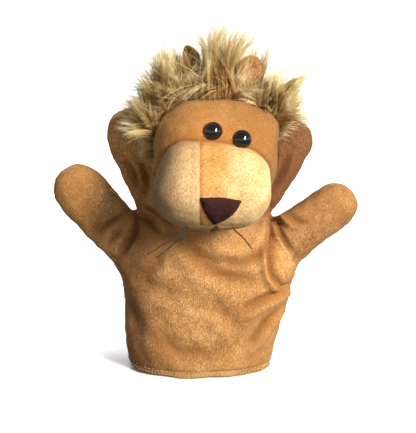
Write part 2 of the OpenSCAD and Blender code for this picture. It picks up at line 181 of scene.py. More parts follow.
def surface_net(field, low, step):
    """Quad mesh on field = 0, one point in each cell that the surface crosses; outside is positive."""
    inside = field < 0
    nx, ny, nz = field.shape
    count = np.zeros((nx - 1, ny - 1, nz - 1), np.int8)
    corners = [(i, j, k) for i in (0, 1) for j in (0, 1) for k in (0, 1)]
    for i, j, k in corners:
        count += inside[i:nx - 1 + i, j:ny - 1 + j, k:nz - 1 + k]
    cells = np.argwhere((count > 0) & (count < 8))
    index = np.full(count.shape, -1)
    index[tuple(cells.T)] = np.arange(len(cells))
    total = np.zeros((len(cells), 3))
    hits = np.zeros(len(cells))
    for a in corners:
        for axis in range(3):
            if a[axis]:
                continue
            b = np.array(a)
            b[axis] = 1
            va = field[tuple((cells + a).T)]
            vb = field[tuple((cells + b).T)]
            m = (va < 0) != (vb < 0)
            t = va[m] / (va[m] - vb[m])
            total[m] += np.array(a) + (b - np.array(a)) * t[:, None]
            hits[m] += 1
    points = np.array(low) + step * (cells + total / hits[:, None])
    quads = []
    for axis in range(3):
        u, v = (axis + 1) % 3, (axis + 2) % 3
        first = [slice(1, n - 1) for n in field.shape]
        first[axis] = slice(0, field.shape[axis] - 1)
        second = list(first)
        second[axis] = slice(1, field.shape[axis])
        a, b = inside[tuple(first)], inside[tuple(second)]
        edges = np.argwhere(a != b)
        out_first = b[tuple(edges.T)]
        edges[:, u] += 1
        edges[:, v] += 1
        ring = []
        for du, dv in ((-1, -1), (0, -1), (0, 0), (-1, 0)):
            e = edges.copy()
            e[:, u] += du
            e[:, v] += dv
            ring.append(index[tuple(e.T)])
        ring = np.array(ring).T
        ring[out_first] = ring[out_first][:, ::-1]
        quads.append(ring)
    quads = np.concatenate(quads)
    return points, quads[(quads >= 0).all(axis=1)]


def mesh_edges(faces):
    e = np.concatenate([faces[:, [i, (i + 1) % faces.shape[1]]] for i in range(faces.shape[1])])
    return np.unique(np.sort(e, axis=1), axis=0)


def relax(points, faces, rounds, share=0.5):
    """Evens a mesh out, with a push back outwards after each step so that it doesn't shrink."""
    e = mesh_edges(faces)
    degree = np.bincount(e.ravel(), minlength=len(points))[:, None]
    for amount in [share, -share * 1.03] * rounds:
        total = np.zeros_like(points)
        for k in range(3):
            total[:, k] = (np.bincount(e[:, 0], points[e[:, 1], k], len(points))
                           + np.bincount(e[:, 1], points[e[:, 0], k], len(points)))
        points = points + amount * (total / np.maximum(degree, 1) - points)
    return points


def point_normals(points, faces):
    """Area-weighted normals. faces is a list of index lists."""
    normals = np.zeros_like(points)
    by_size = {}
    for f in faces:
        by_size.setdefault(len(f), []).append(f)
    for size, group in by_size.items():
        f = np.array(group)
        area = np.zeros((len(f), 3))
        for i in range(1, size - 1):
            area += np.cross(points[f[:, i]] - points[f[:, 0]], points[f[:, i + 1]] - points[f[:, 0]])
        for i in range(size):
            for k in range(3):
                normals[:, k] += np.bincount(f[:, i], area[:, k], len(points))
    return normals / np.maximum(np.linalg.norm(normals, axis=1), 1e-9)[:, None]


class Skin:
    """An open surface that is cut into panels along fields, and shares its normals between them."""

    def __init__(self, points, quads):
        self.bm = bmesh.new()
        verts = [self.bm.verts.new(p) for p in points]
        for q in quads:
            self.bm.faces.new([verts[i] for i in q])
        self.bm.verts.ensure_lookup_table()
        self.bm.verts.index_update()

    def places(self):
        return np.array([v.co for v in self.bm.verts])

    def cut(self, field, near=None):
        """Splits faces along field = 0, only where near(points) is true."""
        self.bm.verts.ensure_lookup_table()
        self.bm.verts.index_update()
        p = self.places()
        value = field(p)
        value[np.abs(value) < 1e-4] = 1e-4
        wanted = near(p) if near else np.ones(len(p), bool)
        made, faces = set(), {}   # faces are kept in the order they're met, so each run gives the same mesh
        for e in list(self.bm.edges):
            a, b = e.verts
            va, vb = value[a.index], value[b.index]
            if (va < 0) == (vb < 0) or not (wanted[a.index] and wanted[b.index]):
                continue
            faces.update(dict.fromkeys(e.link_faces))
            made.add(bmesh.utils.edge_split(e, a, va / (va - vb))[1])
        for f in faces:
            on = [v for v in f.verts if v in made]
            if len(on) == 2 and not any(on[1] in e.verts for e in on[0].link_edges):
                bmesh.utils.face_split(f, on[0], on[1])
        self.bm.verts.ensure_lookup_table()
        self.bm.verts.index_update()

    def remove(self, test):
        """Removes each face whose middle passes the test."""
        faces = list(self.bm.faces)
        mid = np.array([f.calc_center_median() for f in faces])
        gone = [f for f, g in zip(faces, test(mid)) if g]
        bmesh.ops.delete(self.bm, geom=gone, context="FACES")
        self.bm.verts.ensure_lookup_table()
        self.bm.verts.index_update()

    def finish(self):
        self.points = self.places()
        self.faces = [[v.index for v in f.verts] for f in self.bm.faces]
        self.mid = np.array([self.points[f].mean(axis=0) for f in self.faces])
        self.normals = point_normals(self.points, self.faces)
        self.bm.free()


def new_object(name, points, faces, normals=None, values=None):
    """A mesh object from points in mm. normals is one for each face corner; values are point values."""
    mesh = bpy.data.meshes.new(name)
    mesh.from_pydata((np.asarray(points) * MM).tolist(), [], faces)
    mesh.polygons.foreach_set("use_smooth", np.ones(len(mesh.polygons), bool))
    for key, value in (values or {}).items():
        mesh.attributes.new(key, "FLOAT", "POINT").data.foreach_set("value", np.asarray(value, np.float32))
    if normals is not None:
        mesh.normals_split_custom_set(normals.tolist())
    mesh.update()
    piece = bpy.data.objects.new(name, mesh)
    bpy.context.scene.collection.objects.link(piece)
    return piece


def panel(name, skin, keep, thickness, values=None):
    """A closed panel of fabric: the kept faces of a skin, their inner side, and the cut edge."""
    faces = [f for f, k in zip(skin.faces, keep) if k]
    used = np.unique(np.concatenate([np.array(f) for f in faces]))
    remap = np.full(len(skin.points), -1)
    remap[used] = np.arange(len(used))
    n = len(used)
    p, nrm = skin.points[used], skin.normals[used]
    points = np.concatenate([p, p - nrm * thickness])
    out, corner_normals, seen = [], [], {}
    for f in faces:
        g = [int(remap[i]) for i in f]
        out.append(g)
        corner_normals.extend(nrm[g])
        for i, a in enumerate(g):
            b = g[(i + 1) % len(g)]
            if (b, a) in seen:
                seen.pop((b, a))
            else:
                seen[(a, b)] = True
    for g in list(out):
        back = [i + n for i in reversed(g)]
        out.append(back)
        corner_normals.extend(-nrm[[i - n for i in back]])
    for a, b in seen:
        out.append([b, a, a + n, b + n])
        side = np.cross(points[b] - points[a], nrm[a] + nrm[b])
        side = side / max(np.linalg.norm(side), 1e-9)
        corner_normals.extend([side] * 4)
    values = {k: np.concatenate([v[used], v[used]]) for k, v in (values or {}).items()}
    return new_object(name, points, out, np.array(corner_normals), values)


def curve_points(points, count):
    """Smooth curve through points (Catmull-Rom)."""
    p = np.array(points, float)
    p = np.concatenate([[2 * p[0] - p[1]], p, [2 * p[-1] - p[-2]]])
    out = []
    for i in range(1, len(p) - 2):
        for t in np.linspace(0, 1, count, endpoint=False):
            a, b, c, d = p[i - 1:i + 3]
            out.append(0.5 * (2 * b + (c - a) * t + (2 * a - 5 * b + 4 * c - d) * t * t
                              + (3 * b - a - 3 * c + d) * t ** 3))
    out.append(p[-2])
    return np.array(out)


# ---------------------------------------------------------------- materials

def node_tree(name):
    material = bpy.data.materials.new(name)
    material.use_nodes = True
    tree = material.node_tree
    return material, tree, tree.nodes["Principled BSDF"]


def add(tree, kind, inputs=None, **settings):
    node = tree.nodes.new(kind)
    for key, value in settings.items():
        setattr(node, key, value)
    for key, value in (inputs or {}).items():
        if isinstance(value, bpy.types.NodeSocket):
            tree.links.new(value, node.inputs[key])
        else:
            node.inputs[key].default_value = value
    return node


def ramp(tree, factor, stops):
    node = add(tree, "ShaderNodeValToRGB", {"Fac": factor})
    elements = node.color_ramp.elements
    while len(elements) < len(stops):
        elements.new(0.5)
    for element, (place, colour) in zip(elements, stops):
        element.position = place
        element.color = (*colour, 1)
    return node.outputs["Color"]


def noise(tree, where, scale, detail=3.0, rough=0.55, distort=0.0):
    node = add(tree, "ShaderNodeTexNoise", {
        "Vector": where, "Scale": scale, "Detail": detail, "Roughness": rough, "Distortion": distort})
    return node.outputs["Fac"]


def maths(tree, operation, a, b=0.5, clamp=False):
    return add(tree, "ShaderNodeMath", {0: a, 1: b}, operation=operation, use_clamp=clamp).outputs[0]


def mix(tree, factor, a, b, blend="MIX"):
    node = add(tree, "ShaderNodeMix", {"Factor": factor}, data_type="RGBA", blend_type=blend)
    for socket, value in ((node.inputs[6], a), (node.inputs[7], b)):
        if isinstance(value, bpy.types.NodeSocket):
            tree.links.new(value, socket)
        else:
            socket.default_value = (*value, 1)
    return node.outputs[2]


def attribute(tree, name):
    return add(tree, "ShaderNodeAttribute", attribute_name=name).outputs["Fac"]


PAINTED_SHADE_TINT = (0.36, 0.295, 0.34)   # painted shade: how much darker the colour is made where shade is painted in


def plush(name, dark, middle, light, crease_shade=None, nap=(1.0, 1.0, 0.42), sheen=0.14, warm=None, highlight_fade=None):
    """Short-pile plush: tufts that catch the light, larger patches where the nap lies another way."""
    material, tree, shader = node_tree(name)
    where = add(tree, "ShaderNodeTexCoord").outputs["Object"]
    lying = add(tree, "ShaderNodeMapping", {"Vector": where, "Scale": nap}).outputs["Vector"]
    tufts = noise(tree, lying, 1500, 4, 0.6, 0.4)
    clumps = noise(tree, lying, 340, 3, 0.6, 0.6)
    patches = noise(tree, where, 30, 3, 0.55, 1.1)
    a = maths(tree, "MULTIPLY", tufts, 0.70)
    b = maths(tree, "MULTIPLY", clumps, 0.13)
    c = maths(tree, "MULTIPLY", patches, 0.25)
    tone = maths(tree, "ADD", maths(tree, "ADD", a, b), c)
    colour = ramp(tree, tone, [(0.44, dark), (0.54, middle), (0.655, light)])
    # Painted highlight: the colour pales by each point's pale value.
    if highlight_fade:
        paler = ramp(tree, tone, [(0.42, highlight_fade[0]), (0.54, highlight_fade[1]), (0.67, highlight_fade[2])])
        colour = mix(tree, attribute(tree, "pale"), colour, paler)
    if warm:
        brushed = ramp(tree, noise(tree, where, 21, 2, 0.5, 0.7), [(0.40, (0, 0, 0)), (0.62, (1, 1, 1))])
        colour = mix(tree, maths(tree, "MULTIPLY", brushed, 0.45), colour, warm, "MIX")
    # Painted shade in the folds and seams, by each point's stored darkness.
    if crease_shade:
        fold = attribute(tree, "crease_shade")
        colour = mix(tree, maths(tree, "MULTIPLY", fold, 0.78, True), colour, crease_shade)
    # Painted shade: the colour is darkened by each point's shade value.
    colour = mix(tree, attribute(tree, "shade"), colour, PAINTED_SHADE_TINT, "MULTIPLY")
    tree.links.new(colour, shader.inputs["Base Color"])
    height = maths(tree, "ADD", maths(tree, "MULTIPLY", tufts, 0.6), maths(tree, "MULTIPLY", clumps, 0.4))
    bump = add(tree, "ShaderNodeBump", {"Height": height, "Strength": 0.5, "Distance": 0.001})
    tree.links.new(bump.outputs["Normal"], shader.inputs["Normal"])
    shader.inputs["Roughness"].default_value = 0.92
    shader.inputs["Specular IOR Level"].default_value = 0.12
    shader.inputs["Sheen Weight"].default_value = sheen
    shader.inputs["Sheen Roughness"].default_value = 0.4
    shader.inputs["Sheen Tint"].default_value = (1.0, 0.84, 0.6, 1)
    return material


def felt(name, dark, light, fuzz=0.1):
    material, tree, shader = node_tree(name)
    where = add(tree, "ShaderNodeTexCoord").outputs["Object"]
    fibre = noise(tree, where, 1100, 5, 0.7, 1.5)
    patch = noise(tree, where, 160, 3, 0.6)
    tone = maths(tree, "ADD", maths(tree, "MULTIPLY", fibre, 0.6), maths(tree, "MULTIPLY", patch, 0.4))
    tree.links.new(ramp(tree, tone, [(0.38, dark), (0.66, light)]), shader.inputs["Base Color"])
    bump = add(tree, "ShaderNodeBump", {"Height": tone, "Strength": 0.6, "Distance": 0.0006})
    tree.links.new(bump.outputs["Normal"], shader.inputs["Normal"])
    shader.inputs["Roughness"].default_value = 0.95
    shader.inputs["Specular IOR Level"].default_value = 0.15
    shader.inputs["Sheen Weight"].default_value = fuzz
    shader.inputs["Sheen Tint"].default_value = (*light, 1)
    return material


def thread(name, dark, light, roughness=0.6):
    material, tree, shader = node_tree(name)
    where = add(tree, "ShaderNodeTexCoord").outputs["Object"]
    wave = add(tree, "ShaderNodeTexWave", {"Vector": where, "Scale": 700.0,
                                           "Distortion": 3.0, "Detail": 2.0})
    tree.links.new(ramp(tree, wave.outputs["Fac"], [(0.2, dark), (0.8, light)]), shader.inputs["Base Color"])
    bump = add(tree, "ShaderNodeBump", {"Height": wave.outputs["Fac"], "Strength": 0.5, "Distance": 0.0002})
    tree.links.new(bump.outputs["Normal"], shader.inputs["Normal"])
    shader.inputs["Roughness"].default_value = roughness
    return material


def fur(name, root, middle, tip, pale):
    """Long pile: dark at the roots and pale at the tips, and each strand has its own tone."""
    material, tree, shader = node_tree(name)
    along = attribute(tree, "along")
    own = attribute(tree, "own")
    where = add(tree, "ShaderNodeTexCoord").outputs["Object"]
    patch = noise(tree, where, 60, 2, 0.5)
    place = maths(tree, "ADD", along, maths(tree, "MULTIPLY", maths(tree, "SUBTRACT", own, 0.5), 0.75))
    place = maths(tree, "ADD", place, maths(tree, "MULTIPLY", maths(tree, "SUBTRACT", patch, 0.5), 0.9))
    colour = ramp(tree, place, [(0.05, root), (0.42, middle), (0.80, tip), (1.0, pale)])
    tan = ramp(tree, noise(tree, where, 38, 2, 0.5), [(0.46, (0, 0, 0)), (0.66, (1, 1, 1))])
    colour = mix(tree, maths(tree, "MULTIPLY", tan, 0.5), colour, (0.44, 0.215, 0.060))
    tree.links.new(colour, shader.inputs["Base Color"])
    shader.inputs["Roughness"].default_value = 0.55
    shader.inputs["Specular IOR Level"].default_value = 0.22
    shader.inputs["Sheen Weight"].default_value = 0.04
    shader.inputs["Sheen Tint"].default_value = (1.0, 0.85, 0.55, 1)
    return material


def plastic(name, colour, roughness, coat):
    material, tree, shader = node_tree(name)
    where = add(tree, "ShaderNodeTexCoord").outputs["Object"]
    specks = noise(tree, where, 450, 4, 0.6)
    lighter = tuple(min(1, c * 1.6 + 0.006) for c in colour)
    tree.links.new(ramp(tree, specks, [(0.35, colour), (0.75, lighter)]), shader.inputs["Base Color"])
    tree.links.new(
        ramp(tree, specks, [(0.3, (roughness,) * 3), (0.8, (roughness * 1.5 + 0.01,) * 3)]),
        shader.inputs["Roughness"])
    shader.inputs["Coat Weight"].default_value = coat
    shader.inputs["Coat Roughness"].default_value = 0.03
    return material


# The colours for folds and seams below are painted shade.
PLUSH_BODY = plush("plush_body", (0.27, 0.118, 0.031), (0.43, 0.215, 0.072), (0.60, 0.37, 0.165),
                   crease_shade=(0.19, 0.062, 0.011), warm=(0.44, 0.185, 0.046))
PLUSH_FACE = plush("plush_face", (0.235, 0.100, 0.025), (0.35, 0.165, 0.050), (0.45, 0.250, 0.098),
                   crease_shade=(0.21, 0.068, 0.013), warm=(0.40, 0.155, 0.034))
PALE = ((0.45, 0.255, 0.092), (0.59, 0.395, 0.172), (0.70, 0.56, 0.31))
PLUSH_GUSSET = plush("plush_gusset", (0.37, 0.148, 0.036), (0.50, 0.235, 0.065), (0.60, 0.345, 0.130),
                     crease_shade=(0.34, 0.125, 0.026), nap=(0.42, 1.0, 1.0), highlight_fade=PALE)
# Painted shade: the pale cheek fabric made darker for the shaded left cheek and the chin.
PLUSH_CHEEK_SHADED = plush("plush_cheek_shaded", (0.33, 0.18, 0.065), (0.46, 0.29, 0.125), (0.56, 0.41, 0.22),
                         crease_shade=(0.30, 0.14, 0.04), warm=(0.42, 0.215, 0.074))
PLUSH_CHEEK_RIGHT = plush("plush_cheek_right", *PALE, crease_shade=(0.38, 0.19, 0.06), nap=(0.5, 1.0, 0.8))
PLUSH_EAR = plush("plush_ear", (0.17, 0.075, 0.024), (0.32, 0.155, 0.052), (0.46, 0.26, 0.105))
FUR_BACKING = plush("fur_backing", (0.13, 0.07, 0.03), (0.24, 0.14, 0.06), (0.36, 0.235, 0.11))
FELT_NOSE = felt("felt_nose", (0.016, 0.005, 0.0045), (0.062, 0.020, 0.016), 0.04)
THREAD_BLACK = thread("thread_black", (0.004, 0.003, 0.003), (0.014, 0.010, 0.008))
THREAD_BROWN = thread("thread_brown", (0.13, 0.052, 0.014), (0.30, 0.145, 0.045))
THREAD_HEM = thread("thread_hem", (0.40, 0.23, 0.08), (0.74, 0.55, 0.28), 0.6)
FUR_MANE = fur("fur_mane", (0.20, 0.108, 0.036), (0.40, 0.245, 0.086),
               (0.62, 0.46, 0.19), (0.90, 0.81, 0.48))
EYE_BLACK = plastic("eye_black", (0.0015, 0.0015, 0.002), 0.05, 0.35)
WASHER_WHITE = plastic("washer_white", (0.72, 0.71, 0.68), 0.4, 0.0)
LINING = felt("lining", (0.42, 0.34, 0.22), (0.70, 0.62, 0.46))
FILLING = felt("filling", (0.70, 0.70, 0.68), (0.93, 0.93, 0.91))


def dress(piece, material, body, slot_name, *nodes):
    piece.data.materials.clear()
    piece.data.materials.append(material)
    if body:
        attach(piece, body)
    if nodes:
        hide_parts(*nodes)
    return piece


# ---------------------------------------------------------------- the glove

BODY_Z = np.array([-6, 0, 20, 40, 58, 70, 80, 90, 98, 110])
BODY_LEFT = np.array([-49, -50, -51.5, -51, -52.2, -55.5, -56, -52, -48, -44])
BODY_RIGHT = np.array([46.5, 47, 52.5, 58, 62.5, 64.5, 60.5, 54, 49.5, 45])
BODY_DEEP = np.array([28, 28.2, 29.2, 29.6, 29.2, 28.4, 27.2, 26, 25.5, 25])
TOP_FROM, TOP_HIGH = 84.0, 23.0


def smooth_profile(z, values):
    fine = np.arange(-12, 130, 1.0)
    got = np.interp(fine, z, values)
    kernel = np.hanning(13)
    got = np.convolve(np.pad(got, 6, mode="edge"), kernel / kernel.sum(), mode="valid")
    return lambda q: np.interp(q, fine, got)


LEFT_AT = smooth_profile(BODY_Z, BODY_LEFT)
RIGHT_AT = smooth_profile(BODY_Z, BODY_RIGHT)
DEEP_AT = smooth_profile(BODY_Z, BODY_DEEP)


def body_field(p):
    left, right, deep = LEFT_AT(p[..., 2]), RIGHT_AT(p[..., 2]), DEEP_AT(p[..., 2])
    x = np.abs(p[..., 0] - (left + right) / 2) / ((right - left) / 2)
    top = np.maximum(0, p[..., 2] - TOP_FROM) / TOP_HIGH
    return (x ** POWER + (np.abs(p[..., 1]) / deep) ** POWER + top ** POWER) ** (1 / POWER) - 1


def limb_field(limb, p):
    x, y, s = limb.local(p)
    width = np.interp(s / limb.length, limb.shares, limb.widths)
    cap = 17.0
    over = np.maximum(0, s - (limb.length - cap)) / cap
    under = np.maximum(0, -14 - s) / 8
    return ((np.abs(x) / width) ** POWER + (np.abs(y) / limb.depth) ** POWER
            + over ** POWER + under ** POWER) ** (1 / POWER) - 1


def neck_field(p):
    across = np.hypot(p[..., 0] - NECK[0], p[..., 1] - NECK[1])
    under = np.maximum(0, NECK[2] - 12 - p[..., 2]) / 8
    return ((across / 14.5) ** 2 + under ** 2) ** 0.5 - 1


def glove_fields(p, step=None):
    fields = [body_field(p), neck_field(p)] + [limb_field(limb, p) for limb in LIMBS]
    if step:
        return [as_distance(f, step) for f in fields]
    size = [28.0, 14.5] + [13.0] * len(LIMBS)
    return [f * s for f, s in zip(fields, size)]


def owner(p):
    """Which part of the glove a point belongs to: 0 body, 1 neck, then the limbs."""
    return np.argmin(np.array(glove_fields(p)), axis=0)


def upper_share(p):
    """How far a point follows the seam of an upper limb, from 0 on the body to 1 on the limb."""
    f = glove_fields(p)
    share = np.zeros(p.shape[:-1])
    for i, other in ((4, 2), (5, 3)):
        limb = LIMBS[i - 2]
        own_side = p[..., 0] * limb.notch[0] > 0
        up = smooth_step((limb.past(p) + 26) / 28)
        apart = smooth_step((f[other] - f[i]) / 8 + 0.5)
        share = np.where(own_side, up * apart, share)
    return share


def seam_depth(p):
    """Where the side seam lies in Y: 0 on the body, and each upper limb's own middle plane."""
    left = np.clip(UPPER_LEFT.seam_y(p), -5, 60)
    right = np.clip(UPPER_RIGHT.seam_y(p), -5, 60)
    return upper_share(p) * np.where(p[..., 0] < 0, left, right)


def side_field(p):
    return p[..., 1] - seam_depth(p)


FOLD_DEPTH = 1.25      # every fold and pleat is this much deeper than its own value


def stroke(p, normals, path, width, depth, lean=0, back=False):
    """A fold along a path of X and Z that fades at both ends.

    With no lean it is a soft valley between two low banks. With a lean of 1 or -1 it is a pleat:
    a narrow ridge on the path and a deeper valley on its left or right side.
    """
    path = curve_points([(x, 0, z) for x, z in path], 6)[:, [0, 2]]
    q = p[:, [0, 2]]
    best = np.full(len(p), 1e9)
    place = np.zeros(len(p))
    side = np.zeros(len(p))
    lengths = np.linalg.norm(np.diff(path, axis=0), axis=1)
    done = 0.0
    for a, b, length in zip(path[:-1], path[1:], lengths):
        d = (b - a) / length
        t = np.clip((q - a) @ d, 0, length)
        off = q - a - t[:, None] * d
        dist = np.linalg.norm(off, axis=1)
        near = dist < best
        best = np.where(near, dist, best)
        place = np.where(near, (done + t) / lengths.sum(), place)
        side = np.where(near, np.sign(off @ np.array([-d[1], d[0]])), side)
        done += length
    taper = np.sin(np.clip(place, 0.03, 0.97) * math.pi) ** 0.55
    facing = smooth_step((normals[:, 1] if back else -normals[:, 1]) * 3)
    u = best / width
    if lean:
        u = u * side * lean
        valley = np.exp(-((u - 1.9) / 1.05) ** 2)
        shape = 0.8 * np.exp(-(u / 0.9) ** 2) - 1.15 * valley
        dark = valley
    else:
        shape = -np.exp(-u * u) + 0.42 * np.exp(-((u - 1.9) / 0.8) ** 2)
        dark = np.exp(-u * u)
    # The second value is painted shade, darkest in the valley.
    return facing * depth * FOLD_DEPTH * taper * shape, facing * taper * dark * min(1.0, depth * 0.6)


FRONT_FOLDS = [
    # path of X and Z, width, depth, lean
    ([(-46, 107), (-52, 103), (-58, 99), (-63, 94), (-66, 90)], 1.9, 2.3, -1),
    ([(-44, 106), (-46, 98), (-50, 92), (-54, 86), (-57, 82)], 1.9, 2.3, 1),
    ([(-52, 98), (-57, 92), (-61, 86)], 1.7, 1.5, 0),
    ([(-66, 105), (-69, 98), (-68, 91)], 3.2, 0.9, 0),
    ([(43, 108), (42, 93), (42, 77), (45, 66), (51, 58), (60, 53)], 2.3, 3.0, 1),
    ([(46, 107), (50, 95), (55, 86), (60, 79)], 1.8, 2.4, 1),
    ([(47, 107), (54, 105), (61, 100)], 1.7, 1.5, -1),
    ([(56, 108), (62, 104), (72, 101)], 2.4, 1.0, 0),
    ([(62, 54), (54, 51), (43, 48), (28, 40)], 3.0, 2.4, -1),
    ([(58, 41), (50, 35), (42, 25), (36, 16)], 2.8, 1.8, -1),
    ([(60, 62), (54, 56), (48, 54)], 2.0, 1.3, 0),
    ([(14, 88), (26, 85), (37, 91), (42, 103)], 3.4, 1.6, -1),
    ([(-9, 91), (2, 80), (12, 73), (28, 68), (42, 66)], 5.5, 2.3, 0),
    ([(-16, 97), (-4, 84), (12, 80), (26, 80)], 3.6, 1.2, 0),
    ([(-40, 114), (-33, 113), (-24, 108)], 2.0, 1.8, -1),
    ([(-42, 110), (-33, 107), (-22, 101)], 2.2, 1.6, -1),
    ([(-56, 140), (-50, 132), (-44, 119)], 2.2, 1.9, 1),
    ([(-44, 140), (-40, 130), (-42, 117)], 2.2, 1.9, 1),
    ([(-62, 128), (-54, 124), (-47, 116)], 2.2, 1.2, 0),
    ([(55, 150), (52, 136), (46, 121)], 2.2, 1.7, -1),
    ([(64, 145), (59, 130), (50, 115)], 2.2, 1.7, -1),
    ([(-44, 74), (-34, 66), (-22, 60), (-8, 60)], 5.0, 1.1, 0),
    ([(-50, 52), (-44, 40), (-40, 24)], 4.0, 1.2, 0),
    ([(-34, 34), (-14, 20), (6, 17), (22, 24)], 6.0, 1.3, 0),
    ([(4, 52), (18, 44), (30, 28)], 5.0, 1.0, 0),
    ([(-24, 88), (-30, 76), (-40, 68)], 3.4, 1.1, 0)]
BACK_FOLDS = [
    ([(-50, 104), (-56, 94), (-62, 84)], 2.2, 2.2, 1),
    ([(-46, 100), (-44, 86), (-34, 72), (-18, 64)], 3.0, 2.0, 0),
    ([(46, 104), (48, 90), (56, 78), (61, 70)], 2.4, 2.4, -1),
    ([(42, 98), (38, 82), (24, 70), (6, 64)], 3.4, 2.0, 0),
    ([(-26, 108), (-14, 96), (2, 92), (20, 97), (32, 106)], 3.4, 1.8, 0),
    ([(-50, 54), (-28, 45), (-6, 46), (10, 52)], 4.6, 1.7, 0),
    ([(58, 50), (40, 38), (20, 35)], 3.2, 2.0, 1),
    ([(52, 30), (38, 20), (22, 18)], 3.4, 1.3, 0),
    ([(-40, 26), (-12, 17), (18, 22)], 5.5, 1.2, 0),
    ([(-30, 112), (-37, 118), (-40, 128)], 2.2, 1.6, 1),
    ([(34, 112), (41, 119), (47, 130)], 2.2, 1.6, -1),
    ([(-38, 116), (-44, 124)], 2.0, 1.2, 0),
    ([(42, 116), (50, 124)], 2.0, 1.2, 0),
    ([(-60, 104), (-66, 98), (-66, 90)], 2.4, 1.3, 0),
    ([(60, 98), (68, 92), (70, 84)], 2.4, 1.3, 0)]


GLOVE_SPACE = np.array([[-108.0, -36.0, -5.0], [116.0, 48.0, 186.0]])   # a box round the glove


def hem_rise(p):
    """The hem hangs a little higher at the left corner."""
    turn = np.arctan2(-p[..., 1], -p[..., 0] * 0.55)
    return 5.0 * np.exp(-(turn / 0.62) ** 2)


def make_glove_skin():
    low, high = GLOVE_SPACE
    fields = glove_fields(grid(low, high, GRID), GRID)
    total = fields[0]
    for f in fields[2:]:
        total = join_smooth(total, f, 7.0)
    total = join_smooth(total, fields[1], 4.0)
    points, quads = surface_net(total, low, GRID)
    points = relax(points, quads, 5)
    faces = quads.tolist()
    normals = point_normals(points, faces)

    push = 0.9 * noise_at(points, 46, 3, 2) + 0.32 * noise_at(points, 13, 4, 2)
    # Painted shade in the folds, kept beside their shape.
    crease_shade = np.zeros(len(points))
    for folds, back in ((FRONT_FOLDS, False), (BACK_FOLDS, True)):
        for path, width, depth, lean in folds:
            move, dark = stroke(points, normals, path, width, depth, lean, back)
            push = push + move
            crease_shade = np.maximum(crease_shade, dark)
    # Round the outline: the two panels are pinched together at the side seam, with small puckers.
    off = np.abs(side_field(points)) / np.maximum(np.abs(normals[:, 0]) + np.abs(normals[:, 2]) * 0.7, 0.35)
    on_outline = np.abs(normals[:, 1]) < 0.85
    pucker = 0.5 + 0.5 * np.sin(points[:, 2] * 1.15 + points[:, 0] * 0.6 + 3 * noise_at(points, 20, 9, 1))
    seam = np.where(on_outline, np.exp(-(off / 1.5) ** 2), 0)
    push = push - seam * 0.95 - np.where(on_outline, np.exp(-(off / 5.0) ** 2), 0) * 0.28 * pucker
    # The hem waves a little and its edge turns in.
    turn = np.arctan2(points[:, 1], points[:, 0])
    low_edge = np.exp(-np.maximum(points[:, 2], 0) / 16)
    push = push + low_edge * (0.8 * np.sin(3 * turn + 0.6) + 0.5 * np.sin(7 * turn + 2))
    push = push - 0.9 * np.exp(-((points[:, 2] - hem_rise(points) - 3.6) / 1.0) ** 2)
    calm = smooth_step((points[:, 2] - COLLAR_LOW + 6) / 6) * (np.hypot(
        points[:, 0] - NECK[0], points[:, 1] - NECK[1]) < 22)
    push = push * (1 - calm)
    points = points + normals * push[:, None]
    # Painted shade along the side seam as well.
    crease_shade = np.clip(crease_shade + 0.26 * seam, 0, 1)
    return points, quads, crease_shade


def wavy_hem(p):
    """The cut lower edge isn't quite level."""
    turn = np.arctan2(p[..., 1], p[..., 0])
    return p[..., 2] - hem_rise(p) - 0.45 - 0.3 * np.sin(5 * turn + 1) - 0.15 * np.sin(23 * turn)


glove_points, glove_quads, glove_crease_shade = make_glove_skin()


def tree_of(points):
    tree = KDTree(len(points))
    for i, p in enumerate(points):
        tree.insert(p, i)
    tree.balance()
    return tree


def carried(values, tree, points):
    """Values at the nearest of the points that had them."""
    return values[[tree.find(p)[1] for p in points]]


def past_collar(p):
    """Positive above the upper edge of the neck sleeve, which reaches up into the head at the back."""
    return p[:, 2] - COLLAR_HIGH - 1.0 - 0.95 * np.maximum(0, p[:, 1] - NECK[1] + 2)


glove = Skin(glove_points, glove_quads)
glove.cut(wavy_hem)
glove.remove(lambda p: wavy_hem(p) < 0)
near_neck = lambda p: (np.hypot(p[:, 0] - NECK[0], p[:, 1] - NECK[1]) < 24) & (owner(p) < 2)
glove.cut(lambda p: p[:, 2] - COLLAR_LOW, near_neck)
glove.cut(lambda p: p[:, 2] - COLLAR_MID, near_neck)
glove.cut(past_collar, near_neck)
glove.remove(lambda p: (past_collar(p) > 0) & near_neck(p))
for number, limb in enumerate(LIMBS):
    def near_limb(p, number=number, limb=limb):
        mine = owner(p) == number + 2
        return mine & (limb.past(p) > BEND_START - 6) & (limb.past(p) < BEND_START + 6)
    glove.cut(lambda p, limb=limb: limb.past(p) - BEND_START, near_limb)
glove.cut(side_field)
glove.finish()

glove_owner = owner(glove.mid)
part = np.zeros(len(glove.mid), int)
part[(glove_owner < 2) & near_neck(glove.mid) & (glove.mid[:, 2] > COLLAR_LOW)] = 1
part[(part == 1) & (glove.mid[:, 2] > COLLAR_MID)] = 2
for number, limb in enumerate(LIMBS):
    part[(glove_owner == number + 2) & (limb.past(glove.mid) > BEND_START)] = number + 3
is_back = side_field(glove.mid) > 0
# How much shade is painted on the front of each limb.
LIMB_PAINTED_SHADE = {"lower_left": 0.04, "lower_right": 0.44, "upper_left": 0.0, "upper_right": 0.95}


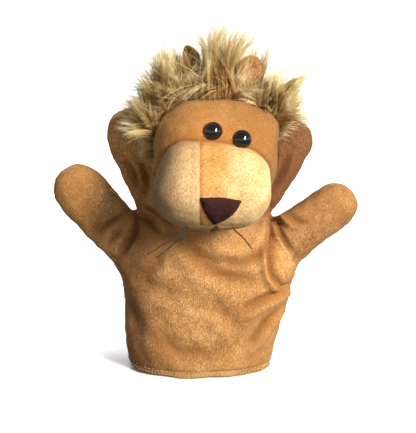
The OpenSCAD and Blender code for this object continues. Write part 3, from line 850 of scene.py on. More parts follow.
def glove_painted_shade(p):
    """How much shade is painted at a point of the glove: on its left side, under the head, low on the left
    and on the limbs, more on their fronts.
    """
    front = smooth_step((6 - p[:, 1]) / 12)
    shade = 0.58 * smooth_step((-20 - p[:, 0]) / 22) * front
    under_head = smooth_step((36 - np.abs(p[:, 0] - 6)) / 12)
    shade = shade + 0.28 * smooth_step((p[:, 2] - 84) / 16) * under_head * front
    shade = shade + 0.22 * smooth_step((24 - p[:, 2]) / 20) * smooth_step((10 - p[:, 0]) / 40) * front
    whose = owner(p)
    for number, limb in enumerate(LIMBS):
        grown = smooth_step((limb.past(p) + 12) / 18) * (whose == number + 2)
        # The painted shade is weaker on the back panel of a limb.
        before = 0.25 + 0.75 * smooth_step((limb.seam_y(p) + 3 - p[:, 1]) / 8)
        shade = shade * (1 - grown) + LIMB_PAINTED_SHADE[limb.key] * before * grown
    return np.clip(shade, 0, 1)


# Painted shade for the plush: in its folds and seams, and where the glove lies in shade.
cloth_values = {"crease_shade": carried(glove_crease_shade, tree_of(glove_points), glove.points),
                 "shade": glove_painted_shade(glove.points)}
FABRIC = 1.8

dress(panel("glove_front", glove, (part == 0) & ~is_back, FABRIC, cloth_values),
      PLUSH_BODY, "glove", "plush_body", "glove_front_panel")
dress(panel("glove_back", glove, (part == 0) & is_back, FABRIC, cloth_values),
      PLUSH_BODY, "glove", "plush_body", "glove_back_panel")
for number, limb in enumerate(LIMBS):
    for side in ("front", "back"):
        keep = (part == number + 3) & (is_back == (side == "back"))
        piece = panel(f"{limb.key}_{side}", glove, keep, FABRIC, cloth_values)
        dress(piece, PLUSH_BODY, None, "plush_body", f"{limb.key}_limb_{side}")
        limb.bend_at(BEND_START)
        limb.bend_at(BEND_END)
        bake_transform(piece)
collar = dress(panel("neck_sleeve_lower", glove, part == 1, FABRIC, cloth_values),
               PLUSH_BODY, None, "plush_body", "neck_band")
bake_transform(collar)
collar = dress(panel("neck_sleeve_upper", glove, part == 2, FABRIC, cloth_values),
               PLUSH_BODY, None, "plush_body")
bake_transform(collar)


# ---------------------------------------------------------------- the head

def barrel_distance(shape, p):
    q = p - shape["at"]
    u = np.abs(q[..., 0]) - (shape["half"] - shape["corner"])
    v = np.hypot(q[..., 1], q[..., 2]) - (shape["r"] - shape["corner"])
    outside = np.hypot(np.maximum(u, 0), np.maximum(v, 0))
    return outside + np.minimum(np.maximum(u, v), 0) - shape["corner"]


def cranium_distance(p):
    """The forehead is fuller at its upper corners than a plain round pillow, more so on its right."""
    q = np.array(p)
    x, z = p[..., 0] - CRANIUM["at"][0], p[..., 2] - CRANIUM["at"][2]
    upper = smooth_step((z - 4) / 22)
    q[..., 0] = p[..., 0] - np.where(x < 0, 0.07, 0.125) * x * upper
    return barrel_distance(CRANIUM, q)


def muzzle_distance(p):
    """The muzzle is a stuffed bag: narrower at its upper left, and deepest at its middle."""
    q = np.array(p)
    x, z = p[..., 0] - MUZZLE["at"][0], p[..., 2] - MUZZLE["at"][2]
    above, below = smooth_step((z + 6) / 32), smooth_step((8 - z) / 26)
    q[..., 0] = p[..., 0] + np.where(x < 0, 0.20, 0.03) * x * above
    q[..., 2] = p[..., 2] + 0.19 * np.maximum(0, x - 2) * above - 0.15 * np.abs(x - 4) * below
    return barrel_distance(MUZZLE, q)


def hair_line(p):
    """Positive where the mane grows: behind a slanted line over the forehead and down its left side."""
    x = p[..., 0] - CRANIUM["at"][0]
    wrap = np.where(x < 0, 10.0, 0.0) * smooth_step((np.abs(x) - 32.5) / 6)
    arch = 0.0072 * x * x + 1.1 * np.sin(x * 0.19 + 2.6) + wrap - 2
    return (p[..., 2] - CRANIUM["at"][2]) + (p[..., 1] - CRANIUM["at"][1]) - 25.5 + arch


HEAD_SPACE = np.array([[-34.0, -90.0, 102.0], [56.0, 14.0, 194.0]])     # a box round the head


def head_distance(p):
    """Distance to the outside of the head: the cranium and the muzzle with a soft fold between them."""
    return join_smooth(cranium_distance(p), muzzle_distance(p), 2.2)


def make_head_skin():
    low, high = HEAD_SPACE
    step = GRID * 0.9
    points, quads = surface_net(head_distance(grid(low, high, step)), low, step)
    points = relax(points, quads, 2)
    normals = point_normals(points, quads.tolist())
    push = 0.35 * noise_at(points, 26, 11, 2) + 0.12 * noise_at(points, 9, 12, 2)
    # Painted shade along the seams and the hair line.
    crease_shade = np.zeros(len(points))
    for field, depth, width, where in head_seams(points):
        near = np.exp(-(field / width) ** 2) * where
        push = push - depth * near
        push = push + 0.35 * depth * np.exp(-((np.abs(field) - 3.2 * width) / (1.6 * width)) ** 2) * where
        crease_shade = np.maximum(crease_shade, near * min(1, depth))
    return points + normals * push[:, None], quads, crease_shade


def fold_field(p):
    return cranium_distance(p) - muzzle_distance(p)


def head_seams(p):
    """Seams of the head: (distance to the seam, depth, width, where it runs)."""
    on_muzzle = fold_field(p) > 0
    front_muzzle = (on_muzzle & (p[:, 2] > CHIN_Z)).astype(float)
    return [
        (p[:, 0] - GUSSET_LEFT, 0.45, 1.0, front_muzzle),
        (p[:, 0] - GUSSET_RIGHT, 0.10, 0.9, front_muzzle),
        (p[:, 2] - CHIN_Z, 0.25, 0.9, on_muzzle.astype(float)),
        (fold_field(p) * 0.7, 1.1, 1.2, np.ones(len(p))),
        (hair_line(p) * 0.7, 0.9, 1.6, (~on_muzzle).astype(float))]


head_points, head_quads, head_crease_shade = make_head_skin()
head = Skin(head_points, head_quads)
head.remove(lambda p: np.linalg.norm(p - NECK, axis=1) < NECK_HOLE)
head.cut(fold_field)
on_muzzle_now = lambda p: fold_field(p) > -0.5
head.cut(lambda p: p[:, 2] - CHIN_Z, on_muzzle_now)
head.cut(lambda p: p[:, 0] - GUSSET_LEFT, lambda p: on_muzzle_now(p) & (p[:, 2] > CHIN_Z - 2))
head.cut(lambda p: p[:, 0] - GUSSET_RIGHT, lambda p: on_muzzle_now(p) & (p[:, 2] > CHIN_Z - 2))
head.cut(hair_line, lambda p: fold_field(p) < 0.5)
head.finish()
def head_painted_shade(p):
    """Painted shade on the left cheek, under the chin and at the right of the forehead."""
    x, z = p[:, 0], p[:, 2]
    muzzle = smooth_step(fold_field(p) / 3 + 0.5)
    cheek = 0.78 * smooth_step((GUSSET_LEFT - 6 - x) / 23)
    chin = 0.25 * smooth_step((CHIN_Z + 4 - z) / 14)
    brow = 0.46 * smooth_step((x - CRANIUM["at"][0] - 2) / 26)
    return muzzle * np.maximum(cheek, chin) + (1 - muzzle) * brow


head_values = {
    "shade": head_painted_shade(head.points),
    "crease_shade": carried(head_crease_shade, tree_of(head_points), head.points),
    # Painted highlight: the gusset pales towards its lit right side, where it meets the paler right cheek.
    "pale": smooth_step((head.points[:, 0] - GUSSET_LEFT - 9) / (GUSSET_RIGHT - GUSSET_LEFT - 9))}
HEAD_FABRIC = 1.2

mid = head.mid
is_muzzle = fold_field(mid) > 0
is_chin = is_muzzle & (mid[:, 2] < CHIN_Z)
is_front_muzzle = is_muzzle & ~is_chin
is_hairy = ~is_muzzle & (hair_line(mid) > 0)
is_forehead = ~is_muzzle & ~is_hairy
for name, keep, material, slot_name, node in (
        ("forehead", is_forehead, PLUSH_FACE, "plush_face", "forehead_panel"),
        ("head_back", is_hairy, FUR_BACKING, "plush_body", "head_back_panel"),
        ("gusset", is_front_muzzle & (mid[:, 0] > GUSSET_LEFT) & (mid[:, 0] < GUSSET_RIGHT),
         PLUSH_GUSSET, "plush_face", "muzzle_gusset"),
        ("cheek_left", is_front_muzzle & (mid[:, 0] < GUSSET_LEFT), PLUSH_CHEEK_SHADED,
         "plush_muzzle_light", "cheek_panel_left"),
        ("cheek_right", is_front_muzzle & (mid[:, 0] > GUSSET_RIGHT), PLUSH_CHEEK_RIGHT,
         "plush_muzzle_light", "cheek_panel_right"),
        ("chin", is_chin, PLUSH_CHEEK_SHADED, "plush_muzzle_light", "chin_panel")):
    piece = dress(panel(name, head, keep, HEAD_FABRIC, head_values), material, "head", slot_name, node)


def make_stuffing():
    """The filling inside the head panels, with the pocket for the finger stall left open."""
    (low, high), step, gap = HEAD_SPACE, 2.4, 1.6
    p = grid(low, high, step)
    total = head_distance(p) + HEAD_FABRIC + gap
    stall_low, stall_high = node_box("finger_stall")
    middle, radius = (stall_low + stall_high) / 2, (stall_high[0] - stall_low[0]) / 2 + 0.8
    across = np.hypot(p[..., 0] - middle[0], p[..., 1] - middle[1])
    stall = np.hypot(across, np.maximum(0, p[..., 2] - stall_high[2] + radius)) - radius
    room = NECK_HOLE + 2.5 - np.linalg.norm(p - NECK, axis=-1)
    points, quads = surface_net(np.maximum(np.maximum(total, -stall), room), low, step)
    return new_object("stuffing", points, quads.tolist())


dress(make_stuffing(), FILLING, "head", "stuffing", "head_stuffing")


# ---------------------------------------------------------------- the mane

def ear_of(side, shift, scale, width, hides, parts, turn):
    """An ear's place and size, and how the fur near it is shortened and parted."""
    low, high = node_box(f"ear_{side}_outer")
    return {"side": side, "at": (low + high) / 2 + shift, "size": (high - low) * scale,
            "width": width, "hides": hides, "parts": parts, "turn": turn}


EARS = [ear_of("left", (-2.5, -2.0, -0.6), 0.80, 9.0, 0.34, 0.95, -0.95),
        ear_of("right", (-1.6, -6.0, -3.4), 0.94, 16.0, 0.70, 0.96, 0.55)]


def tube_mesh(paths, radii, sides, values=None):
    """Closed tapered tubes along paths: (strands, rings, 3) points and (strands, rings) radii."""
    count, rings, _ = paths.shape
    tangent = np.gradient(paths, axis=1)
    tangent /= np.maximum(np.linalg.norm(tangent, axis=2), 1e-9)[..., None]
    other = np.where(np.abs(tangent[..., 2:]) < 0.9, [[[0, 0, 1.0]]], [[[1.0, 0, 0]]])
    u = np.cross(tangent, other)
    u /= np.maximum(np.linalg.norm(u, axis=2), 1e-9)[..., None]
    v = np.cross(tangent, u)
    turns = np.arange(sides) * 2 * math.pi / sides
    cosine, sine = np.cos(turns)[None, None, :, None], np.sin(turns)[None, None, :, None]
    ring = u[:, :, None] * cosine + v[:, :, None] * sine
    points = paths[:, :, None] + ring * radii[:, :, None, None]
    base = (np.arange(count) * rings * sides)[:, None, None]
    i = np.arange(rings - 1)[None, :, None] * sides
    j = np.arange(sides)[None, None, :]
    k = (np.arange(sides)[None, None, :] + 1) % sides
    quads = np.stack([base + i + j, base + i + k, base + i + sides + k, base + i + sides + j], axis=-1)
    faces = quads.reshape(-1, 4).tolist()
    start = (np.arange(count) * rings * sides)[:, None]
    faces += (start + np.arange(sides)[::-1]).tolist()
    faces += (start + (rings - 1) * sides + np.arange(sides)).tolist()
    spread = {key: np.repeat(value.reshape(-1), sides) for key, value in (values or {}).items()}
    return points.reshape(-1, 3), faces, spread


def sample_faces(skin, keep, count, rng):
    """Random points and normals on the kept faces, as dense everywhere."""
    faces = [f for f, k in zip(skin.faces, keep) if k]
    tri = np.array([(f[0], f[i], f[i + 1]) for f in faces for i in range(1, len(f) - 1)])
    a, b, c = (skin.points[tri[:, k]] for k in range(3))
    area = np.linalg.norm(np.cross(b - a, c - a), axis=1)
    pick = rng.choice(len(tri), count, p=area / area.sum())
    r, s = rng.random((2, count, 1))
    r, s = np.where(r + s > 1, 1 - r, r), np.where(r + s > 1, 1 - s, s)
    place = a[pick] + r * (b - a)[pick] + s * (c - a)[pick]
    normal = skin.normals[tri[pick, 0]]
    return place, normal


def unit(v):
    return v / np.maximum(np.linalg.norm(v, axis=-1), 1e-9)[..., None]


def mane_growth(p, normals):
    """Direction and length of the pile on the head: tall on top, short and swept up at the sides."""
    rel = p - CRANIUM["at"]
    side = rel[:, 0] / CRANIUM["half"]
    high = rel[:, 2] / CRANIUM["r"]
    edge = smooth_step((np.abs(side) - 0.48) / 0.52)
    upward = 0.60 * np.clip(high + 0.35, 0, 1) + 0.62 * edge * smooth_step((high + 0.2) / 0.6)
    lift = np.stack([0.10 * side - 0.30 * side * edge, -0.10 * np.ones(len(p)), upward], axis=1)
    length = 16 + 45 * smooth_step((high + 0.12) / 0.98) * (1 - 0.46 * edge)
    back = smooth_step((rel[:, 1] - 2) / 16)
    length = length * (1 - 0.24 * back)
    low_right = smooth_step((0.5 - high) / 0.4) * smooth_step((side - 0.35) / 0.3)
    length = length * (1 - 0.62 * low_right)
    for ear in EARS:
        near = np.abs(p[:, 0] - ear["at"][0]) / ear["width"]
        hides = smooth_step(1.4 - near * 1.5) * smooth_step((ear["at"][1] + 4 - p[:, 1]) / 6)
        length = length * (1 - ear["hides"] * hides)
    return unit(normals + lift), length


MANE_TOP = node_box("mane_fur")[1][2] + 12.5


STRAND_RINGS = 7
ALONG = np.linspace(0, 1, STRAND_RINGS)


def tuft_leaders(rng, roots, every, spread, bend, short, tall):
    """Picks a leader for each strand, and gives the leader's root and its path from there."""
    place, out, length = roots
    count = len(place)
    t = ALONG[None, :, None]
    picked = rng.choice(count, max(3, int(count * every)), replace=False)
    tree = tree_of(place[picked])
    mine = np.array([tree.find(q)[1] for q in place])
    n = len(picked)
    way = unit(out[picked] + spread * rng.normal(size=(n, 3)))
    reach = length[picked] * rng.uniform(short, tall, n)
    sideways = unit(np.cross(way, rng.normal(size=(n, 3)))) * rng.uniform(0.2, 1.0, (n, 1)) * bend
    sideways[:, 2] -= 0.12
    wave = unit(np.cross(way, sideways))[:, None] * np.sin(
        t * rng.uniform(3.5, 7.5, (n, 1, 1)) + rng.uniform(0, 6, (n, 1, 1))) * 0.045
    path = reach[:, None, None] * (way[:, None] * t + sideways[:, None] * t * t + wave * t)
    return mine, place[picked][mine], path[mine]


def keep_in_space(paths, place, base):
    """Shortens the strands that pass the top of the mane, and lifts the ones that hang over the brow."""
    reach = paths[..., 2].max(axis=1) - base[:, 2]
    fits = np.clip((MANE_TOP - base[:, 2]) / np.maximum(reach, 1e-6), 0, 1)
    paths = base[:, None] + (paths - base[:, None]) * fits[:, None, None]
    over_brow = (place[:, 1] < CRANIUM["at"][1] - 6)[:, None] * np.ones(STRAND_RINGS)
    paths[..., 2] += np.maximum(0, base[:, None, 2] - paths[..., 2] - 3) * over_brow * 0.85
    return paths


def part_at_ears(paths, base, rng):
    """Shortens most of the strands that hang in front of an ear."""
    for ear in EARS:
        off = paths - ear["at"]
        over = (np.abs(off[..., 0]) < ear["size"][0] * 0.55) & (np.abs(off[..., 2]) < ear["size"][2] * 0.6)
        covers = (over & (off[..., 1] < 4)).any(axis=1) & (rng.random(len(base)) < ear["parts"])
        paths[covers] = base[covers][:, None] + (paths[covers] - base[covers][:, None]) * 0.42


def make_mane(name, keep_root, count, seed, tufts=0.0085, locks=0.055,
              spread=0.40, bend=0.55, tall=1.0, paler=0.0):
    """Fur strands gathered in small locks, and the locks in tufts that bend each their own way."""
    rng = np.random.default_rng(seed)
    count = int(count * HAIR_SHARE)
    place, normal = sample_faces(head, is_hairy, count * 4, rng)
    chosen = keep_root(place)
    place, normal = place[chosen][:count], normal[chosen][:count]
    count = len(place)
    roots = (place, *mane_growth(place, normal))
    t = ALONG[None, :, None]
    tuft, tuft_root, tuft_path = tuft_leaders(rng, roots, tufts, spread, bend, 0.62 * tall, 1.14 * tall)
    lock, lock_root, lock_path = tuft_leaders(rng, roots, locks, 0.34, 0.75, 0.60, 1.0)
    wild = rng.random(count) < 0.06
    share = rng.uniform(0.72, 1.04, count)[:, None, None]
    base = place - normal * 0.9
    gather = 1 - (t ** 1.25) * 0.93
    to_tuft = tuft_root[:, None] + (place - tuft_root)[:, None] * gather + tuft_path * share
    to_lock = lock_root[:, None] + (place - lock_root)[:, None] * gather + lock_path * share
    loose = np.where(wild, 0.75, 0.26)[:, None, None] * np.ones_like(t)
    paths = to_tuft * (1 - loose) + to_lock * loose
    paths = base[:, None] * (1 - smooth_step(t * 3)) + paths * smooth_step(t * 3)
    paths += rng.normal(size=(count, 1, 3)) * np.where(wild, 2.6, 0.9)[:, None, None] * t * t
    paths = keep_in_space(paths, place, base)
    part_at_ears(paths, base, rng)
    radii = rng.uniform(0.13, 0.24, count)[:, None] * (1 - 0.88 * ALONG[None, :] ** 1.7)
    along = np.repeat(ALONG[None, :], count, axis=0)
    tone = rng.random(count)[tuft] * 0.50 + rng.random(count)[lock] * 0.30 + rng.random(count) * 0.20
    own = np.repeat((tone + paler)[:, None], STRAND_RINGS, axis=1)
    points, faces, values = tube_mesh(paths, radii, 3, {"along": along, "own": own})
    return new_object(name, points, faces, None, values)


CX = CRANIUM["at"][0]
MANE_PARTS = [
    ("mane_crest_left", lambda p: (p[:, 0] < CX - 8) & (p[:, 1] < -22), 5200),
    ("mane_crest_middle", lambda p: (np.abs(p[:, 0] - CX) <= 8) & (p[:, 1] < -22), 4800),
    ("mane_crest_right", lambda p: (p[:, 0] > CX + 8) & (p[:, 1] < -22), 5200),
    ("mane_back_left", lambda p: (p[:, 0] < CX) & (p[:, 1] >= -22), 5200),
    ("mane_back_right", lambda p: (p[:, 0] >= CX) & (p[:, 1] >= -22), 5200)]
for number, (name, test, count) in enumerate(MANE_PARTS):
    for layer in (1, 2):
        piece = make_mane(f"{name}_{layer}", test, count, 40 + number + 20 * layer)
        dress(piece, FUR_MANE, "head", "fur_mane", *(["mane_fur"] if number + layer == 1 else []))
piece = make_mane("mane_curls", lambda p: p[:, 1] < -6, 1900, 51, tufts=0.075, locks=0.075, spread=0.50,
                  bend=0.95, tall=1.14, paler=0.45)
dress(piece, FUR_MANE, "head", "fur_mane")
piece = make_mane("mane_fringe", lambda p: hair_line(p) < 11, 4200, 57, tufts=0.05, locks=0.12, spread=0.75,
                  bend=1.1, tall=0.55)
dress(piece, FUR_MANE, "head", "fur_mane")


# ---------------------------------------------------------------- ears, nose, threads

head_tree = BVHTree.FromPolygons([tuple(p) for p in head.points], head.faces)


def on_head(x, z):
    """The point of the head's front at this X and Z, and the way out of it."""
    hit, normal, _, _ = head_tree.ray_cast(Vector((x, -150, z)), Vector((0, 1, 0)))
    return np.array(hit), np.array(normal if normal.y < 0 else -normal)


def nose_outline():
    """The felt triangle in X and Z, with round corners and sides that bulge a little."""
    low, high = node_box("nose_patch")
    width = high[0] - low[0]
    corners = np.array([(low[0] - 0.2, high[2] + 0.4), (high[0] + 0.6, high[2] - 1.4),
                        (low[0] + width * 0.345, low[2] - 1.0)])
    outline = []
    steps = 14
    for k in range(3):
        a, b, c = corners[k - 1], corners[k], corners[(k + 1) % 3]
        cut = (0.07, 0.07, 0.13)
        start, end = b + (a - b) * cut[k], b + (c - b) * cut[k]
        far_end = c + (b - c) * cut[(k + 1) % 3]
        for t in np.linspace(0, 1, 6, endpoint=False):
            outline.append((1 - t) ** 2 * start + 2 * t * (1 - t) * b + t * t * end)
        bulge = np.array([(b - c)[1], (c - b)[0]]) * (0.035, 0.085, 0.05)[k]
        for t in np.linspace(0, 1, steps, endpoint=False):
            outline.append(end + (far_end - end) * t + bulge * math.sin(math.pi * t))
    outline = np.array(outline)
    rng = np.random.default_rng(5)
    return outline + rng.normal(size=outline.shape) * 0.10


def nose_mesh():
    """The felt lies on the muzzle and is a little padded."""
    outline = nose_outline()
    centre = outline.mean(axis=0)
    rings, n = 9, len(outline)
    top, under = [], []
    for r in range(rings):
        share = 1 - r / rings
        for q in outline:
            x, z = centre + (q - centre) * share
            place, normal = on_head(x, z)
            lift = 0.5 + 1.15 * (1 - share ** 6) + 0.5 * (1 - share ** 2)
            top.append(place + normal * lift)
            under.append(place - normal * 0.3)
    place, normal = on_head(*centre)
    top.append(place + normal * 2.1)
    under.append(place - normal * 0.3)
    faces = []
    for r in range(rings - 1):
        for i in range(n):
            j = (i + 1) % n
            faces.append([r * n + i, r * n + j, (r + 1) * n + j, (r + 1) * n + i])
    for i in range(n):
        faces.append([(rings - 1) * n + i, (rings - 1) * n + (i + 1) % n, rings * n])
    total = len(top)
    faces += [[i + total for i in reversed(f)] for f in faces]
    for i in range(n):
        j = (i + 1) % n
        faces.append([j, i, i + total, j + total])
    return np.array(top + under), faces


def fix_normals(piece):
    bm = bmesh.new()
    bm.from_mesh(piece.data)
    bmesh.ops.recalc_face_normals(bm, faces=bm.faces)
    bm.to_mesh(piece.data)
    bm.free()
    return piece


nose_points, nose_faces = nose_mesh()
nose = fix_normals(new_object("nose", nose_points, nose_faces))
dress(nose, FELT_NOSE, "head", "felt_nose", "nose_patch")


def strand_piece(name, routes, radius, taper, sides=8):
    """Threads along routes, in one piece."""
    points, faces = [], []
    for route in routes:
        r = radius * (1 - taper * np.linspace(0, 1, len(route)) ** 2)
        p, f, _ = tube_mesh(route[None], r[None], sides)
        faces += [[i + len(points) for i in g] for g in f]
        points += p.tolist()
    return fix_normals(new_object(name, np.array(points), faces))


def whisker_route(root, end, sag, inset=1.2):
    """From a root in X and Z on the muzzle to a free end, with a sag at the middle."""
    place, normal = on_head(*root)
    end = np.array(end)
    middle = (place + end) / 2 + np.array(sag)
    return curve_points([place - normal * inset, place + (middle - place) * 0.35, middle, end], 8)


left_low, left_high = node_box("whiskers_left")
right_low, right_high = node_box("whiskers_right")
whisker_left = strand_piece("whisker_threads_left", [
    whisker_route((left_high[0] - 3.5, left_high[2] - 1.0), left_low + [-1.0, 1, 7.6], (0.4, 0, -0.6)),
    whisker_route((left_high[0] - 2.5, left_high[2] - 1.6), left_low + [4.4, 2, 5.2], (0.7, 0, -0.8))],
    0.48, 0.30)
dress(whisker_left, THREAD_BLACK, "head", "thread_black", "whiskers_left")
whisker_right = strand_piece("whisker_threads_right", [
    whisker_route((right_low[0] + 0.5, right_high[2] - 0.6), (right_high[0], right_low[1] + 1, right_low[2]),
                  (0.4, 0, 0.7))],
    0.50, 0.25)
dress(whisker_right, THREAD_BLACK, "head", "thread_black", "whiskers_right")



def mouth_route(steps, lift):
    """A thread over the muzzle, by steps in X and Z from the top middle of the mouth."""
    low, high = node_box("mouth_stitch")
    out = []
    for x, z in steps:
        place, normal = on_head((low[0] + high[0]) / 2 + x, high[2] + z)
        out.append(place + normal * lift)
    return curve_points(out, 5)


mouth = strand_piece("mouth_threads", [
    mouth_route([(0, -0.2), (-1.4, -2.6), (-3.2, -5.0)], 0.25),
    mouth_route([(0.4, -0.6), (1.2, -2.4), (-1.6, -4.6), (-3.4, -5.4)], 0.35)],
    0.28, 0.2)
dress(mouth, THREAD_BLACK, "head", "thread_black", "mouth_stitch")


def ear_mesh(ear, share, forward, thick):
    """A small round cup that narrows to its base, as a closed shell of fabric."""
    rings, turns = 9, 32
    points = []
    for k in range(rings + 1):
        r = k / rings * share
        for j in range(turns):
            a = 2 * math.pi * j / turns
            x, z = r * math.cos(a), r * math.sin(a)
            narrow = 1 - 0.42 * float(smooth_step(np.array(-z / 1.0 + 0.05)))
            drop = 1.75 if z < 0 else 1.0
            deep = 6.5 * (1 - r * r) - 1.2 * r ** 6 - forward
            points.append((x * narrow * ear["size"][0] / 2, deep + 1.5 * abs(x) ** 3,
                           z * drop * ear["size"][0] * 0.56))
    points = np.array(points)
    faces = [[k * turns + j, k * turns + (j + 1) % turns,
              (k + 1) * turns + (j + 1) % turns, (k + 1) * turns + j]
             for k in range(1, rings) for j in range(turns)]
    points[:turns] = points[:turns].mean(axis=0)
    faces += [[0, turns + j, turns + (j + 1) % turns] for j in range(turns)]
    used = np.concatenate([[0], np.arange(turns, len(points))])
    remap = {int(old): new for new, old in enumerate(used)}
    faces = [[remap[i] for i in f] for f in faces]
    points = points[used]
    normals = point_normals(points, faces)
    n = len(points)
    edge = [n - turns + j for j in range(turns)]
    closed = faces + [[i + n for i in reversed(f)] for f in faces]
    closed += [[edge[(j + 1) % turns], edge[j], edge[j] + n, edge[(j + 1) % turns] + n]
               for j in range(turns)]
    both = np.concatenate([points + normals * thick / 2, points - normals * thick / 2])
    c, d = math.cos(ear["turn"]), math.sin(ear["turn"])
    turned = both @ np.array([[c, -d, 0], [d, c, 0], [0, 0, 1]]).T
    return turned + ear["at"] + [0, -2, -1.5], closed


for ear in EARS:
    for kind, share, forward, thick in (("outer", 1.0, 0.0, 1.6), ("inner", 0.86, 1.5, 0.9)):
        points, faces = ear_mesh(ear, share, forward, thick)
        piece = fix_normals(new_object(f"ear_{ear['side']}_{kind}_fabric", points, faces))
        dress(piece, PLUSH_EAR, "head", f"plush_ear_{kind}", f"ear_{ear['side']}_{kind}")


# ---------------------------------------------------------------- hem

def hem_ring(z, inset, count):
    """Points round the glove at height z, moved inwards by inset, found on the finished surface."""
    out = []
    for k in range(count):
        t = 2 * math.pi * k / count
        d = Vector((math.cos(t), math.sin(t), 0))
        level = Vector((0, 0, z + float(hem_rise(np.array(d)))))
        hit, normal, _, _ = glove_tree.ray_cast(level + d * 90, -d)
        if hit is None:
            hit, normal = level + d * 48, d
        if normal.dot(d) < 0:
            normal = -normal
        out.append(np.array(hit) - np.array(normal) * inset)
    return np.array(out)


glove_tree = BVHTree.FromPolygons([tuple(p) for p in glove.points], glove.faces)
HEM_COUNT = 160


def hem_fold(name, front):
    """The turned-in seam allowance: a soft band inside the hem."""
    heights = np.linspace(0.9, HEM_TOP, 7)
    turn = 2 * math.pi * np.arange(HEM_COUNT) / HEM_COUNT
    rings = []
    for inset in (FABRIC + 0.25, FABRIC * 2):
        for z in heights:
            ring = hem_ring(max(z, 1.2), inset, HEM_COUNT)
            ripple = 0.5 * np.sin(turn * 9) + 0.3 * np.sin(turn * 23)
            ring[:, 2] = z + hem_rise(ring) + ripple * (z / HEM_TOP)
            rings.append(ring)
    rings = np.array(rings)
    keep = np.sin(turn) < 0 if front else np.sin(turn) >= 0
    order = [k for k in range(HEM_COUNT) if keep[k]]
    m = len(heights)
    points, faces = rings[:, order].reshape(-1, 3), []
    w = len(order)
    at = lambda r, c: r * w + c
    for c in range(w - 1):
        for r in range(m - 1):
            faces.append([at(r, c), at(r, c + 1), at(r + 1, c + 1), at(r + 1, c)])
            faces.append([at(m + r + 1, c), at(m + r + 1, c + 1), at(m + r, c + 1), at(m + r, c)])
        faces.append([at(0, c), at(m, c), at(m, c + 1), at(0, c + 1)])
        faces.append([at(m - 1, c), at(m - 1, c + 1), at(2 * m - 1, c + 1), at(2 * m - 1, c)])
    for c in (0, w - 1):
        for r in range(m - 1):
            faces.append([at(r, c), at(r + 1, c), at(m + r + 1, c), at(m + r, c)])
    return fix_normals(new_object(name, points, faces))


dress(hem_fold("hem_turned_in_front", True), PLUSH_BODY, "glove", "plush_body", "hem_fold_front")
dress(hem_fold("hem_turned_in_back", False), PLUSH_BODY, "glove", "plush_body", "hem_fold_back")


def hem_stitches():
    """Short stitches in a row above the edge, and overlock loops round the edge itself."""
    count = 92
    rng = np.random.default_rng(8)
    row = hem_ring(3.6, -0.15, count * 8)
    row[:, 2] += 0.25 * np.sin(np.arange(len(row)) * 0.05)
    routes = []
    for k in range(count):
        piece = row[(np.arange(6) + k * 8) % len(row)].copy()
        piece[[0, -1]] += (piece[[0, -1]] * [1, 1, 0]) / -60.0
        piece[:, 2] += rng.uniform(-0.12, 0.12)
        routes.append(piece)
    loops = 120
    outside = hem_ring(1.9, -0.2, loops)
    inside = hem_ring(1.9, FABRIC + 0.2, loops)
    for k in range(loops):
        a, b = outside[k].copy(), inside[(k + 1) % loops].copy()
        rise = hem_rise(a)
        a[2] = rise + 2.0 + rng.uniform(-0.2, 0.3)
        b[2] = rise + 1.8
        edge = (a + b) / 2
        edge[2] = rise + 0.25
        routes.append(curve_points([a, (a + edge) / 2 + (a - b) * 0.12 - [0, 0, 0.2], edge, b], 3))
    return strand_piece("hem_threads", routes, 0.24, 0.0, 5)


dress(hem_stitches(), THREAD_HEM, "glove", "thread_hem", "hem_stitching")


# ---------------------------------------------------------------- CAD pieces that stay

for names, material in (
        (("eye_left", "eye_right"), EYE_BLACK),
        (("eye_washer_left", "eye_washer_right"), WASHER_WHITE),
        (("finger_stall",), LINING),
        (("neck_stitching",), THREAD_BROWN)):
    for name in names:
        node = frame["nodes"][name]
        node.data.materials.clear()
        node.data.materials.append(material)


# ---------------------------------------------------------------- floor, light and camera

def floor():
    """Pale floor that catches shadows. It throws no light back up, so the puppet keeps its soft shading."""
    material, tree, shader = node_tree("floor")
    where = add(tree, "ShaderNodeTexCoord").outputs["Object"]
    grain = noise(tree, where, 30, 3)
    tree.links.new(ramp(tree, grain, [(0.3, (0.88, 0.88, 0.88)), (0.7, (0.92, 0.92, 0.92))]),
                   shader.inputs["Base Color"])
    shader.inputs["Roughness"].default_value = 0.9
    bpy.ops.mesh.primitive_plane_add(size=120, location=(0, 0, -0.0004))
    plane = bpy.context.object
    plane.name = "studio_floor"
    plane.data.materials.append(material)
    plane.visible_diffuse = False
    plane.visible_glossy = False
    return plane


def light_only(lamp, piece):
    """Limits a light to one piece."""
    group = bpy.data.collections.new(lamp.name + "_receivers")
    group.objects.link(piece)
    lamp.light_linking.receiver_collection = group


def near_light(name, place, target, size, power, colour):
    light = bpy.data.lights.new(name, "AREA")
    light.shape = "DISK"
    light.size = size
    light.energy = power
    light.color = colour
    lamp = bpy.data.objects.new(name, light)
    lamp.location = place
    lamp.rotation_euler = (Vector(place) - Vector(target)).to_track_quat("Z", "Y").to_euler()
    bpy.context.scene.collection.objects.link(lamp)


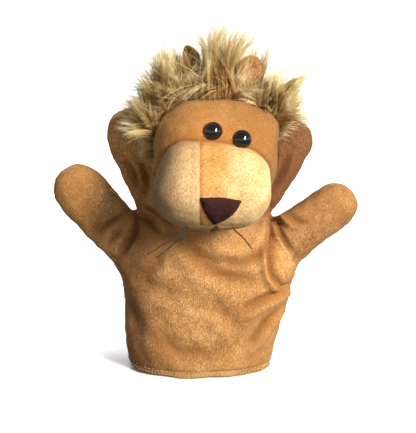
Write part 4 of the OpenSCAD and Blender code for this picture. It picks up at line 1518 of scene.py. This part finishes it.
def sun(name, azimuth, elevation, power, soft, colour=(1, 1, 1)):
    """A soft far light. Azimuth 0 is in front of the puppet, and positive is to its right in the picture."""
    light = bpy.data.lights.new(name, "SUN")
    light.energy = power
    light.angle = math.radians(soft)
    light.color = colour
    lamp = bpy.data.objects.new(name, light)
    a, e = math.radians(azimuth), math.radians(elevation)
    way = Vector((math.sin(a) * math.cos(e), -math.cos(a) * math.cos(e), math.sin(e)))
    lamp.rotation_euler = way.to_track_quat("Z", "Y").to_euler()
    bpy.context.scene.collection.objects.link(lamp)
    return lamp


def sky():
    """Pale at the horizon and softer above, like a studio with white walls."""
    world = bpy.data.worlds.new("studio")
    world.use_nodes = True
    tree = world.node_tree
    where = add(tree, "ShaderNodeTexCoord").outputs["Generated"]
    height = add(tree, "ShaderNodeSeparateXYZ", {"Vector": where}).outputs["Z"]
    colour = ramp(tree, maths(tree, "MULTIPLY_ADD", height, 0.5), [
        (0.44, (0.24, 0.23, 0.22)), (0.485, (1.0, 1.0, 1.0)),
        (0.56, (1.0, 1.0, 1.0)), (0.67, (0.24, 0.25, 0.27))])
    tree.links.new(colour, tree.nodes["Background"].inputs["Color"])
    tree.nodes["Background"].inputs["Strength"].default_value = 1.0
    bpy.context.scene.world = world


def studio():
    plane = floor()
    sky()
    near_light("key", (0.31, -0.44, 0.34), (0, -0.02, 0.12), 0.18, 5.4, (1.0, 0.975, 0.93))
    sun("side", 50, 38, 1.0, 12, (1.0, 0.98, 0.95))
    sun("rear", 195, 40, 1.7, 25)
    light_only(sun("floor_light", 0, 88, 2.6, 20), plane)
    bpy.context.scene.view_settings.view_transform = "Standard"


def camera():
    """A long lens a little above the puppet, tipped down by 13 degrees."""
    distance, pitch = 0.76, math.radians(13)
    data = bpy.data.cameras.new("camera")
    data.sensor_fit = "VERTICAL"
    data.sensor_height = 36
    data.lens = 94.0
    eye = bpy.data.objects.new("camera", data)
    eye.location = (0.0054, -distance * math.cos(pitch), 0.2751)
    eye.rotation_euler = (math.pi / 2 - pitch, 0, 0)
    bpy.context.scene.collection.objects.link(eye)
    bpy.context.scene.camera = eye


studio()
camera()
